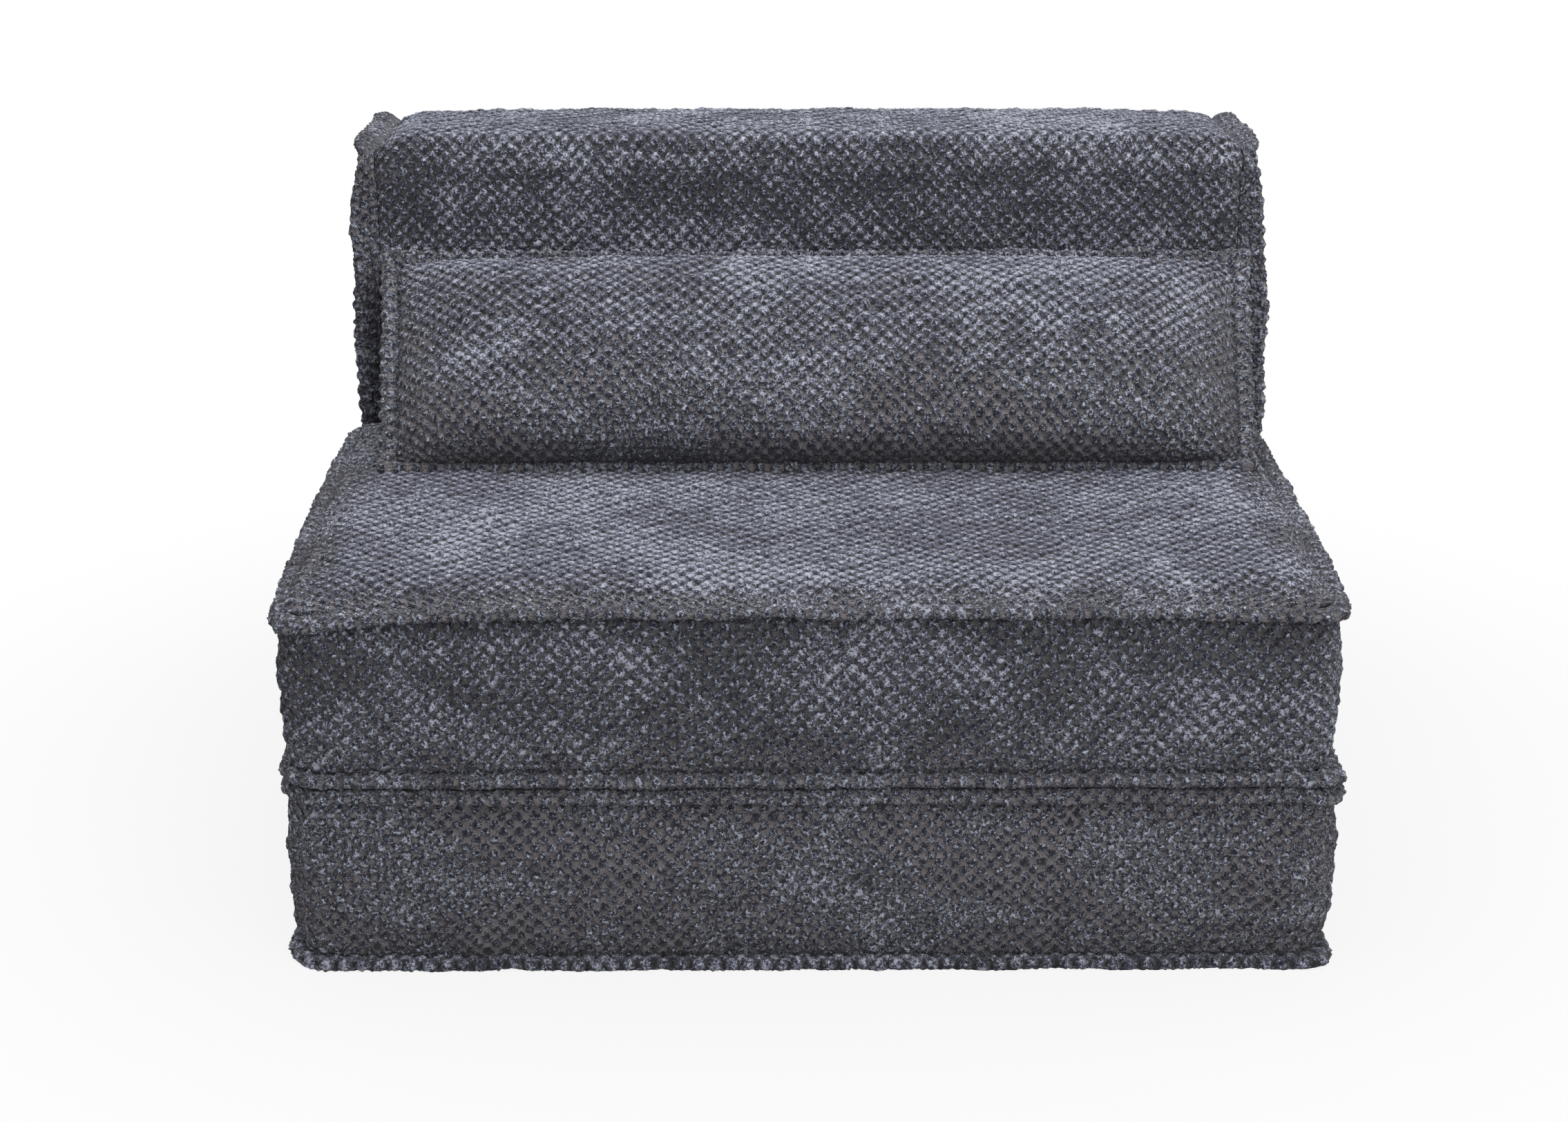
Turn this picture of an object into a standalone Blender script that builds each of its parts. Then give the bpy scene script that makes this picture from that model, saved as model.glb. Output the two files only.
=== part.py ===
"""A fold-out foam chair: two stacked foam blocks, a box backrest and a loose lumbar pillow.

Metres, +Z up. +X is to the right of someone facing the chair and +Y goes towards its back.
The origin is on the floor, under the middle of the base block.
"""

import math

import bmesh
import bpy
from mathutils import Vector

# The two seat blocks, measured between the seams of their covers
SEAM_WIDTH = 0.968
BASE_DEPTH = 0.880
SEAT_BACK_CLEARANCE = 0.027
MIDDLE_HEIGHT = 0.1905
SEAT_HEIGHT = 0.3665
PLAN_CORNER_RADIUS = 0.028
SIDE_BULGE = 0.011
SEAT_CROWN = 0.010
SEAT_CORNER_DROP = 0.012

# Cover cloth, wadding, and the gap that sewn and stuffed pieces keep
COVER = 0.0035
SEAT_WADDING = 0.012
BASE_WADDING = 0.008
GAP = 0.0003

# Folded-out flanges along the block seams
FLANGE_WIDTH = 0.018
FLANGE_THICKNESS = 0.007
FLANGE_DROOP = 0.004

# Hinge strip between the blocks
HINGE_STRIP_INSET = 0.034
HINGE_STRIP_THICKNESS = 0.0008
HINGE_CLEARANCE = 0.002

# Backrest
BACK_SIDE_INSET = 0.010
BACK_DEPTH = 0.268
BACK_HEIGHT = 0.649
BACK_SHIFT = 0.006
BACK_EDGE_RADIUS = 0.030
BACK_FRONT_CROWN = 0.009
BACK_TOP_CROWN = 0.013
BACK_SIDE_BULGE = 0.006
BACK_WADDING = 0.010
BACK_FLANGE_WIDTH = 0.024
BACK_FLANGE_LIFT = 0.002

# Hook and loop tape under the backrest
TAPE_END_INSET = 0.094
TAPE_WIDTH = 0.050
TAPE_THICKNESS = 0.0015
TAPE_INSET = 0.035

# Lumbar pillow, measured along its seams
PILLOW_SIDE_INSET = 0.0355
PILLOW_HEIGHT = 0.260
PILLOW_LEAN_DEG = 49.0
PILLOW_FOOT_FROM_BACK = 0.223
PILLOW_SHIFT = 0.013
PILLOW_FRONT_SWELL = 0.082
PILLOW_BACK_SWELL = 0.070
PILLOW_FLANGE_WIDTH = 0.022
PILLOW_FILLING_GAP = 0.0015

# Zips
ZIP_END_INSET = 0.054
ZIP_TAPE_WIDTH = 0.026
ZIP_TAPE_THICKNESS = 0.0012
COIL_WIDTH = 0.006
COIL_HEIGHT = 0.0022
SLIDER_LENGTH = 0.013
SLIDER_WALL = 0.0016
SLIDER_CLEARANCE = 0.0005
BAIL_WIDTH = 0.0030
BAIL_BAR = 0.0012
BAIL_TUNNEL_LENGTH = 0.0046
PULL_LENGTH = 0.034
PULL_WIDTH = 0.009
PULL_THICKNESS = 0.0012
PULL_EYE_LENGTH = 0.0080
PULL_EYE_WIDTH = 0.0050
PULL_BAR = 0.0020
SLIDER_FROM_END = 0.012
BACK_ZIP_HEIGHT = 0.050

# Mesh density
ARC_STEPS = 5
FRONT_STEPS = 6
FLANK_STEPS = 4
BACK_FRONT_STEPS = 4
BACK_TOP_STEPS = 4
SMOOTH_ANGLE_DEG = 40

# Heights of the boxing's rings, and how far each stands out, as shares of the height and the bulge
BULGE_SHARES = [(0.0, 0.0), (0.07, 0.0), (0.30, 1.0), (0.70, 1.0), (0.93, 0.0), (1.0, 0.0)]
# Rings of a crowned panel, from its seam to near its middle
PANEL_RING_SHARES = [1.0, 0.975, 0.90, 0.70, 0.40]

FRONT_Y = -BASE_DEPTH / 2
REAR_Y = BASE_DEPTH / 2
SEAT_DEPTH = BASE_DEPTH - BACK_DEPTH - SEAT_BACK_CLEARANCE
SEAT_REAR_Y = FRONT_Y + SEAT_DEPTH
BACK_FRONT_Y = REAR_Y - BACK_DEPTH
HINGE_Y = FRONT_Y - FLANGE_WIDTH - HINGE_CLEARANCE
BASE_TOP = MIDDLE_HEIGHT - GAP / 2
SEAT_BOTTOM = MIDDLE_HEIGHT + GAP / 2
STRIP_ROOM = HINGE_STRIP_THICKNESS + GAP
LOOP_BOTTOM = BASE_TOP + GAP
HOOK_BOTTOM = LOOP_BOTTOM + TAPE_THICKNESS + GAP
BACK_BOTTOM = HOOK_BOTTOM + TAPE_THICKNESS + GAP
HINGE_STRIP_WIDTH = SEAM_WIDTH - 2 * HINGE_STRIP_INSET
BACK_WIDTH = SEAM_WIDTH - 2 * BACK_SIDE_INSET
TAPE_LENGTH = SEAM_WIDTH - 2 * TAPE_END_INSET
PILLOW_WIDTH = SEAM_WIDTH - 2 * PILLOW_SIDE_INSET
ZIP_LENGTH = SEAM_WIDTH - 2 * ZIP_END_INSET


def clear_scene():
    """Remove whatever the open file holds."""
    for thing in list(bpy.data.objects):
        bpy.data.objects.remove(thing, do_unlink=True)


def material(name, colour, roughness, metallic=0.0):
    """A Principled material with one colour."""
    made = bpy.data.materials.new(name)
    made.use_nodes = True
    shader = made.node_tree.nodes["Principled BSDF"]
    shader.inputs["Base Color"].default_value = (*colour, 1.0)
    shader.inputs["Roughness"].default_value = roughness
    shader.inputs["Metallic"].default_value = metallic
    return made


def add_object(name, points, faces, look, origin=(0.0, 0.0, 0.0)):
    """One closed mesh with its faces pointing out and its origin where asked."""
    start = Vector(origin)
    mesh = bpy.data.meshes.new(name)
    mesh.from_pydata([Vector(p) - start for p in points], [], faces)
    bm = bmesh.new()
    bm.from_mesh(mesh)
    bmesh.ops.recalc_face_normals(bm, faces=bm.faces)
    bm.to_mesh(mesh)
    bm.free()
    mesh.shade_smooth()
    mesh.set_sharp_from_angle(angle=math.radians(SMOOTH_ANGLE_DEG))
    mesh.materials.append(look)
    made = bpy.data.objects.new(name, mesh)
    made.location = start
    bpy.context.collection.objects.link(made)
    return made


def loft(loops, capped=True, ring=False, turned=None):
    """Points and faces of closed loops joined in order, with end caps or joined back to the first.

    Each four-sided patch is split along one diagonal, and along the other from loop number turned
    on, so that two surfaces that lie close together are split alike.
    """
    count = len(loops[0])
    points = [p for loop in loops for p in loop]
    faces = []
    pairs = list(zip(range(len(loops) - 1), range(1, len(loops))))
    if ring:
        pairs.append((len(loops) - 1, 0))
    for low, high in pairs:
        for i in range(count):
            j = (i + 1) % count
            a, b, c, d = low * count + i, low * count + j, high * count + j, high * count + i
            if turned is not None and low >= turned:
                faces += [(a, b, d), (b, c, d)]
            else:
                faces += [(a, b, c), (a, c, d)]
    if capped and not ring:
        faces.append(tuple(range(count))[::-1])
        faces.append(tuple((len(loops) - 1) * count + i for i in range(count)))
    return points, faces


def fan_cap(points, faces, start, count, centre):
    """Close a loop of points with triangles to a centre point."""
    points.append(centre)
    middle = len(points) - 1
    for i in range(count):
        faces.append((start + i, start + (i + 1) % count, middle))


def closed_sheet(outer, inner):
    """Points and faces of a sheet between two grids of the same size, with its four edges closed."""
    rows, columns = len(outer), len(outer[0])
    points = [p for row in outer for p in row] + [p for row in inner for p in row]
    under = rows * columns
    faces = []
    for i in range(rows - 1):
        for j in range(columns - 1):
            a, b = i * columns + j, i * columns + j + 1
            c, d = b + columns, a + columns
            for p, q, r in ((a, b, c), (a, c, d)):
                faces += [(p, q, r), (under + r, under + q, under + p)]
    edge = [(0, j) for j in range(columns - 1)]
    edge += [(i, columns - 1) for i in range(rows - 1)]
    edge += [(rows - 1, j) for j in range(columns - 1, 0, -1)]
    edge += [(i, 0) for i in range(rows - 1, 0, -1)]
    ids = [i * columns + j for i, j in edge]
    for a, b in zip(ids, ids[1:] + ids[:1]):
        faces.append((b, a, under + a, under + b))
    return points, faces


def box_points(low, high):
    """The eight corners of a box as two loops."""
    (x0, y0, z0), (x1, y1, z1) = low, high
    lower = [(x0, y0, z0), (x1, y0, z0), (x1, y1, z0), (x0, y1, z0)]
    return [lower, [(x, y, z1) for x, y, _ in lower]]


def plan_outline(rear_y):
    """The seam's outline seen from above, as places with their outward directions."""
    half, radius = SEAM_WIDTH / 2, PLAN_CORNER_RADIUS
    corners = [
        (half - radius, FRONT_Y + radius, -90),
        (half - radius, rear_y - radius, 0),
        (-half + radius, rear_y - radius, 90),
        (-half + radius, FRONT_Y + radius, 180),
    ]
    steps = [FLANK_STEPS, FRONT_STEPS, FLANK_STEPS, FRONT_STEPS]
    placed = []
    for k, (cx, cy, start) in enumerate(corners):
        for i in range(ARC_STEPS + 1):
            angle = math.radians(start + 90 * i / ARC_STEPS)
            out = Vector((math.cos(angle), math.sin(angle)))
            placed.append((Vector((cx, cy)) + out * radius, out))
        end, out = placed[-1]
        nx, ny, nstart = corners[(k + 1) % len(corners)]
        target = Vector((nx, ny)) + out * radius
        for i in range(1, steps[k]):
            placed.append((end.lerp(target, i / steps[k]), out))
    return placed


def plan_shares(x, y, rear_y):
    """How far a place is from the block's middle towards its seams, each from 0 to 1."""
    middle = (FRONT_Y + rear_y) / 2
    across = min(abs(x) / (SEAM_WIDTH / 2), 1.0)
    along = min(abs(y - middle) / ((rear_y - FRONT_Y) / 2), 1.0)
    return across, along


def crown_at(x, y, rear_y, crown):
    """How far the stuffed top rises above its seam."""
    across, along = plan_shares(x, y, rear_y)
    return crown * (1 - across**5) * (1 - along**5)


def drop_at(x, y, rear_y, drop):
    """How far the seam is pulled down near a corner."""
    across, along = plan_shares(x, y, rear_y)
    return drop * across**14 * along**14


def offset_loop(outline, distance, height, bulge=0.0):
    """The outline moved outward at one height; the bulge dies away towards the straight rear."""
    loop = []
    for place, out in outline:
        swell = bulge * (1 - max(out.y, 0.0))
        moved = place + out * (distance + swell)
        loop.append(Vector((moved.x, moved.y, height(place))))
    return loop


def level(z):
    """A height that is the same all round."""
    return lambda place: z


def plate(name, outline, inset, low, high, look):
    """A flat piece of cloth or wadding with the block's outline."""
    loops = [offset_loop(outline, -inset, level(z)) for z in (low, high)]
    add_object(name, *loft(loops), look)


def crowned_panel(name, outline, rear_y, inset, crown, drop, top, bottom_of, look):
    """A panel that follows the stuffed top, on an underside that the caller gives."""
    middle = Vector((0.0, (FRONT_Y + rear_y) / 2))
    edge_share = 1 - inset / ((rear_y - FRONT_Y) / 2)
    count = len(outline)

    def rise_at(place, share):
        at = middle + (place - middle) * share
        return crown_at(at.x, at.y, rear_y, crown) - drop_at(at.x, at.y, rear_y, drop)

    def chord_rise(place, share):
        outer, inner = PANEL_RING_SHARES[:2]
        part = (outer - share) / (outer - inner)
        return rise_at(place, outer) * (1 - part) + rise_at(place, inner) * part

    over, under = [], []
    for share in [edge_share] + PANEL_RING_SHARES[1:]:
        upper, lower = [], []
        for place, _ in outline:
            at = middle + (place - middle) * share
            rise = chord_rise(place, share) if share == edge_share else rise_at(place, share)
            upper.append(Vector((at.x, at.y, top + rise)))
            lower.append(Vector((at.x, at.y, bottom_of(rise))))
        over.append(upper)
        under.append(lower)
    loops = over[::-1] + under
    points, faces = loft(loops, capped=False, turned=len(over))
    peak = crown_at(middle.x, middle.y, rear_y, crown)
    fan_cap(points, faces, 0, count, Vector((middle.x, middle.y, top + peak)))
    last = (len(loops) - 1) * count
    fan_cap(points, faces, last, count, Vector((middle.x, middle.y, bottom_of(peak))))
    add_object(name, points, faces, look)


def boxing(name, outline, rear_y, low, high, drop, look):
    """The band round a block, pulled in at its two seams and swollen between them."""
    outer, inner = [], []
    for share, swell in BULGE_SHARES:
        height = ring_height(rear_y, low, high, drop, share)
        outer.append(offset_loop(outline, 0.0, height, SIDE_BULGE * swell))
        inner.append(offset_loop(outline, -COVER, height, SIDE_BULGE * swell))
    loops = outer + inner[::-1]
    add_object(name, *loft(loops, ring=True, turned=len(outer)), look)


def ring_height(rear_y, low, high, drop, share):
    """The height of one of a band's rings, which takes its share of the corners' drop."""
    z = low + (high - low) * share
    return lambda place: z - drop_at(place.x, place.y, rear_y, drop) * share**2


def swell_at(share):
    """The boxing's bulge at one share of its height."""
    for (z0, swell0), (z1, swell1) in zip(BULGE_SHARES, BULGE_SHARES[1:]):
        if share <= z1:
            return swell0 + (swell1 - swell0) * (share - z0) / (z1 - z0)
    return 0.0


def foam_core(name, outline, rear_y, low, high, core_top, drop, look):
    """The cut foam block, which fills the band up to the wadding."""
    inset = -(COVER + GAP)
    top_share = (core_top - low) / (high - low)
    drop_share = drop / (high - low)
    loops = [
        offset_loop(outline, inset, ring_height(rear_y, low, high, drop, share), SIDE_BULGE * swell)
        for share, swell in BULGE_SHARES if share < top_share
    ]
    swell = swell_at(top_share + drop_share)
    loops.append(offset_loop(outline, inset, level(core_top), SIDE_BULGE * swell))
    add_object(name, *loft(loops), look)


def block_flange(name, outline, rear_y, inner_z, droop, drop, look):
    """A folded double edge that stands out all round a block's seam."""
    half = FLANGE_THICKNESS / 2
    loops = []
    for distance, fall, side in (
        (GAP, 0.0, half),
        (FLANGE_WIDTH, droop, half),
        (FLANGE_WIDTH, droop, -half),
        (GAP, 0.0, -half),
    ):
        height = lambda place: (  # noqa: E731
            inner_z - fall + side - drop_at(place.x, place.y, rear_y, drop)
        )
        loops.append(offset_loop(outline, distance, height))
    add_object(name, *loft(loops, ring=True), look)


def make_block(prefix, rear_y, bottom, top, wadding, crown, drop, flange_heights, looks):
    """One foam block: core, wadding, panels, band and its two flanges."""
    floor_look = looks["pile"] if crown else looks["under"]
    outline = plan_outline(rear_y)
    low = bottom + COVER + GAP
    high = top - COVER - GAP
    pad_bottom = high - wadding - drop
    plate(prefix + "_bottom_panel", outline, 0.0, bottom, bottom + COVER, floor_look)
    boxing(prefix + "_boxing", outline, rear_y, low, high, drop, looks["pile"])
    core_top = pad_bottom - GAP
    foam_core(prefix + "_foam_core", outline, rear_y, low, high, core_top, drop, looks["foam"])
    inset = COVER + GAP
    if crown:
        crowned_panel(
            prefix + "_wadding", outline, rear_y, inset, crown, drop, high - GAP,
            lambda rise: pad_bottom, looks["wadding"],
        )
        crowned_panel(
            prefix + "_top_panel", outline, rear_y, 0.0, crown, drop, top,
            lambda rise: top - COVER + rise, looks["pile"],
        )
    else:
        plate(prefix + "_wadding", outline, inset, pad_bottom, high, looks["wadding"])
        plate(prefix + "_top_panel", outline, 0.0, top - COVER, top, looks["pile"])
    upper, upper_droop, lower, lower_droop = flange_heights
    block_flange(prefix + "_top_flange", outline, rear_y, upper, upper_droop, drop, looks["pile"])
    block_flange(prefix + "_bottom_flange", outline, rear_y, lower, lower_droop, 0.0, looks["pile"])


def extrude_x(name, section, x0, x1, look, origin=(0.0, 0.0, 0.0)):
    """A closed section of Y and Z places, drawn out along X."""
    loops = [[Vector((x, y, z)) for y, z in section] for x in (x0, x1)]
    return add_object(name, *loft(loops), look, origin)


def make_hinge_strip(look):
    """The cloth strip folded between the two front flanges."""
    near, half_gap = FRONT_Y - GAP, GAP / 2
    outer = half_gap + HINGE_STRIP_THICKNESS
    fold = HINGE_Y - HINGE_STRIP_THICKNESS
    section = [
        (near, MIDDLE_HEIGHT - outer),
        (near, MIDDLE_HEIGHT - half_gap),
        (HINGE_Y, MIDDLE_HEIGHT - half_gap),
        (HINGE_Y, MIDDLE_HEIGHT + half_gap),
        (near, MIDDLE_HEIGHT + half_gap),
        (near, MIDDLE_HEIGHT + outer),
        (HINGE_Y, MIDDLE_HEIGHT + outer),
        (fold, MIDDLE_HEIGHT + half_gap),
        (fold, MIDDLE_HEIGHT - half_gap),
        (HINGE_Y, MIDDLE_HEIGHT - outer),
    ]
    extrude_x("hinge_strip", section, -HINGE_STRIP_WIDTH / 2, HINGE_STRIP_WIDTH / 2, look)


def make_zip(prefix, face_y, z, looks):
    """A zip sewn flat on a rear face: tape with its coil, slider with its bail, and pull."""
    tape_y = face_y + GAP
    back_y = tape_y + ZIP_TAPE_THICKNESS
    coil_y = back_y + COIL_HEIGHT
    half_tape, half_coil = ZIP_TAPE_WIDTH / 2, COIL_WIDTH / 2
    section = [
        (tape_y, z - half_tape),
        (tape_y, z + half_tape),
        (back_y, z + half_tape),
        (back_y, z + half_coil),
        (coil_y, z + half_coil - COIL_HEIGHT / 2),
        (coil_y, z - half_coil + COIL_HEIGHT / 2),
        (back_y, z - half_coil),
        (back_y, z - half_tape),
    ]
    extrude_x(prefix + "_zip_tape", section, -ZIP_LENGTH / 2, ZIP_LENGTH / 2, looks["tape"])

    # Slider: a channel over the coil, closed by a bail whose tunnel runs across the zip
    centre_x = ZIP_LENGTH / 2 - SLIDER_FROM_END
    origin = (centre_x, back_y, z)
    foot_y = back_y + SLIDER_CLEARANCE
    roof_y = coil_y + SLIDER_CLEARANCE
    top_y = roof_y + SLIDER_WALL
    half_room = half_coil + SLIDER_CLEARANCE
    half_width = half_room + SLIDER_WALL
    channel = [
        (foot_y, z - half_width),
        (foot_y, z - half_room),
        (roof_y, z - half_room),
        (roof_y, z + half_room),
        (foot_y, z + half_room),
        (foot_y, z + half_width),
        (top_y, z + half_width),
        (top_y, z - half_width),
    ]
    slider = extrude_x(
        prefix + "_zip_slider", channel,
        centre_x - SLIDER_LENGTH / 2, centre_x + SLIDER_LENGTH / 2, looks["metal"], origin,
    )
    tunnel = PULL_THICKNESS + 2 * GAP
    crest_y = top_y + tunnel + BAIL_BAR
    half_tunnel = BAIL_TUNNEL_LENGTH / 2
    reach = half_tunnel + BAIL_BAR
    sunk_y = top_y - SLIDER_WALL / 2
    arch = [
        (centre_x - reach, sunk_y),
        (centre_x - reach, crest_y),
        (centre_x + reach, crest_y),
        (centre_x + reach, sunk_y),
        (centre_x + half_tunnel, sunk_y),
        (centre_x + half_tunnel, crest_y - BAIL_BAR),
        (centre_x - half_tunnel, crest_y - BAIL_BAR),
        (centre_x - half_tunnel, sunk_y),
    ]
    loops = [[Vector((x, y, h)) for x, y in arch] for h in (z - BAIL_WIDTH / 2, z + BAIL_WIDTH / 2)]
    bail = add_object(prefix + "_bail_to_join", *loft(loops), looks["metal"])
    join = slider.modifiers.new("bail", "BOOLEAN")
    join.operation = "UNION"
    join.solver = "EXACT"
    join.object = bail
    bail.hide_render = True
    bail.display_type = "WIRE"

    # Pull: a plate whose eye goes round one post of the bail
    pull_y = top_y + GAP
    eye_end = centre_x + PULL_BAR / 2
    plate_end = eye_end - PULL_LENGTH
    eye_start = eye_end - PULL_BAR - PULL_EYE_LENGTH
    outer = [(plate_end, -PULL_WIDTH / 2), (eye_end, -PULL_WIDTH / 2),
             (eye_end, PULL_WIDTH / 2), (plate_end, PULL_WIDTH / 2)]
    inner = [(eye_start, -PULL_EYE_WIDTH / 2), (eye_end - PULL_BAR, -PULL_EYE_WIDTH / 2),
             (eye_end - PULL_BAR, PULL_EYE_WIDTH / 2), (eye_start, PULL_EYE_WIDTH / 2)]
    loops = [
        [Vector((x, y, z + h)) for x, h in ring]
        for ring, y in (
            (outer, pull_y), (outer, pull_y + PULL_THICKNESS),
            (inner, pull_y + PULL_THICKNESS), (inner, pull_y),
        )
    ]
    add_object(prefix + "_zip_pull", *loft(loops, ring=True), looks["metal"], origin)


def back_profile(inset=0.0):
    """The backrest's seam from the side, from its front foot over the top to its rear foot."""
    radius = BACK_EDGE_RADIUS
    front, rear, top = BACK_FRONT_Y, REAR_Y, BACK_HEIGHT
    placed = []

    def run(start, end, out, steps):
        for i in range(1, steps):
            placed.append((start.lerp(end, i / steps), out))

    def arc(centre, first, last):
        for i in range(ARC_STEPS + 1):
            angle = math.radians(first + (last - first) * i / ARC_STEPS)
            out = Vector((math.cos(angle), math.sin(angle)))
            placed.append((centre + out * radius, out))

    front_out, top_out, rear_out = Vector((-1, 0)), Vector((0, 1)), Vector((1, 0))
    head = Vector((front, top - radius))
    placed.append((Vector((front, BACK_BOTTOM)), front_out))
    placed.append((Vector((front, SEAT_HEIGHT)), front_out))
    run(Vector((front, SEAT_HEIGHT)), head, front_out, BACK_FRONT_STEPS)
    arc(head + Vector((radius, 0)), 180, 90)
    run(Vector((front + radius, top)), Vector((rear - radius, top)), top_out, BACK_TOP_STEPS)
    arc(Vector((rear - radius, top - radius)), 90, 0)
    placed.append((Vector((rear, BACK_BOTTOM)), rear_out))
    return [(place - out * inset, out) for place, out in placed]


def back_crown(place, out, across):
    """How far the stuffed backrest swells at its front above the seat, and at its top."""
    height = max((place.y - SEAT_HEIGHT) / (BACK_HEIGHT - SEAT_HEIGHT), 0.0)
    front = BACK_FRONT_CROWN * max(-out.x, 0.0) * max(math.sin(math.pi * height), 0.0)
    depth = min(max((place.x - BACK_FRONT_Y) / BACK_DEPTH, 0.0), 1.0)
    top = BACK_TOP_CROWN * max(out.y, 0.0) * (1 - max(2 * depth - 1, 0.0) ** 3)
    return (front + top) * (1 - abs(across) ** 4)


# Columns across the backrest, and along and across the pillow, as shares of half a width or of a height
BACK_COLUMN_SHARES = [-1.0, -0.985, -0.93, -0.75, -0.45, 0.0, 0.45, 0.75, 0.93, 0.985, 1.0]
PILLOW_COLUMN_SHARES = [-1.0, -0.992, -0.97, -0.92, -0.82, -0.6, -0.2, 0.2, 0.6, 0.82, 0.92, 0.97, 0.992, 1.0]
PILLOW_ROW_SHARES = [0.0, 0.03, 0.10, 0.24, 0.42, 0.58, 0.76, 0.90, 0.97, 1.0]
SIDE_RING_SHARES = [(1.0, 0.0), (0.93, 0.45), (0.75, 0.85), (0.4, 1.0)]


def back_grid(inset, crowned, half):
    """Places on the backrest's wrapped face, moved in from the seam profile."""
    grid = []
    for place, out in back_profile(inset):
        row = []
        for across in BACK_COLUMN_SHARES:
            rise = back_crown(place + out * inset, out, across) if crowned else 0.0
            at = place + out * rise
            row.append(Vector((BACK_SHIFT + across * half, at.x, at.y)))
        grid.append(row)
    return grid


def make_backrest(looks):
    """The backrest: core, wadding, wrap panel, side panels, bottom and flanges."""
    half = BACK_WIDTH / 2
    wrap_half = half - COVER - GAP
    add_object(
        "backrest_wrap_panel",
        *closed_sheet(back_grid(0.0, True, wrap_half), back_grid(COVER, True, wrap_half)),
        looks["pile"],
    )
    under = COVER + GAP
    core_inset = under + BACK_WADDING + GAP
    pad_outer = back_grid(under, True, wrap_half)
    pad_inner = back_grid(under + BACK_WADDING, False, wrap_half)
    foot = BACK_BOTTOM + COVER + GAP
    for grid in (pad_outer, pad_inner):
        for row in (grid[0], grid[-1]):
            for p in row:
                p.z = foot
    add_object("backrest_wadding", *closed_sheet(pad_outer, pad_inner), looks["wadding"])
    side = [Vector((place.x, place.y)) for place, _ in back_profile(core_inset)]
    side[0].y = side[-1].y = foot
    loops = [
        [Vector((BACK_SHIFT + x, p.x, p.y)) for p in side] for x in (-wrap_half, wrap_half)
    ]
    add_object("backrest_foam_core", *loft(loops), looks["foam"])
    inner_front, inner_rear = BACK_FRONT_Y + under, REAR_Y - under
    add_object(
        "backrest_bottom_panel",
        *loft(box_points(
            (BACK_SHIFT - wrap_half, inner_front, BACK_BOTTOM),
            (BACK_SHIFT + wrap_half, inner_rear, BACK_BOTTOM + COVER),
        )),
        looks["under"],
    )
    profile = back_profile()
    middle = Vector(((BACK_FRONT_Y + REAR_Y) / 2, (BACK_BOTTOM + BACK_HEIGHT) / 2))
    for name, sign in (("left", -1), ("right", 1)):
        seam_x = BACK_SHIFT + sign * half
        outer, inner = [], []
        for share, swell in SIDE_RING_SHARES:
            ring = [middle + (place - middle) * share for place, _ in profile]
            x = seam_x + sign * BACK_SIDE_BULGE * swell
            outer.append([Vector((x, p.x, p.y)) for p in ring])
            inner.append([Vector((x - sign * COVER, p.x, p.y)) for p in ring])
        add_object("backrest_%s_panel" % name, *loft(inner[::-1] + outer), looks["pile"])
        root_x = seam_x + sign * COVER / 2
        tip_x = seam_x + sign * BACK_FLANGE_WIDTH
        thick = FLANGE_THICKNESS / 2
        sections = []
        for place, out in profile:
            section = []
            for x, lift, edge in (
                (root_x, 0.0, thick), (tip_x, BACK_FLANGE_LIFT, thick),
                (tip_x, BACK_FLANGE_LIFT, -thick), (root_x, 0.0, -thick),
            ):
                at = place + out * (lift + edge)
                section.append(Vector((x, at.x, at.y)))
            sections.append(section)
        add_object("backrest_%s_flange" % name, *loft(sections), looks["pile"])


def tape_strip(name, front_y, low_z, look):
    """One strip of hook or loop tape along the backrest's foot."""
    half = TAPE_LENGTH / 2
    corners = box_points(
        (BACK_SHIFT - half, front_y, low_z),
        (BACK_SHIFT + half, front_y + TAPE_WIDTH, low_z + TAPE_THICKNESS),
    )
    add_object(name, *loft(corners), look)


def pillow_frame():
    """The pillow's lower seam place and its directions: across, up its face and out of its front."""
    lean = math.radians(PILLOW_LEAN_DEG)
    up = Vector((0.0, math.sin(lean), math.cos(lean)))
    front = Vector((0.0, -math.cos(lean), math.sin(lean)))
    rest = SEAT_HEIGHT + SEAT_CROWN + GAP
    foot = Vector((PILLOW_SHIFT, BACK_FRONT_Y - PILLOW_FOOT_FROM_BACK, rest + FLANGE_THICKNESS + GAP))
    return foot, up, front, rest


def pillow_swell(across, along):
    """How full the pillow is at a place, from 0 at its seam to 1."""
    sideways = (1 - abs(across) ** 6) ** 0.7
    upright = (1 - abs(2 * along - 1) ** 2.2) ** 0.6
    return sideways * upright


def pillow_grid(swell, lift, above_seat, rows, columns):
    """Places on one face of the pillow, which lies flat where it rests on the seat."""
    foot, up, front, rest = pillow_frame()
    grid = []
    for along in rows:
        row = []
        for across in columns:
            out = swell * pillow_swell(across, along) + lift
            place = foot + up * (PILLOW_HEIGHT * along) + front * out
            place.x += across * PILLOW_WIDTH / 2
            place.z = max(place.z, rest + above_seat)
            row.append(place)
        grid.append(row)
    return grid


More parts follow.
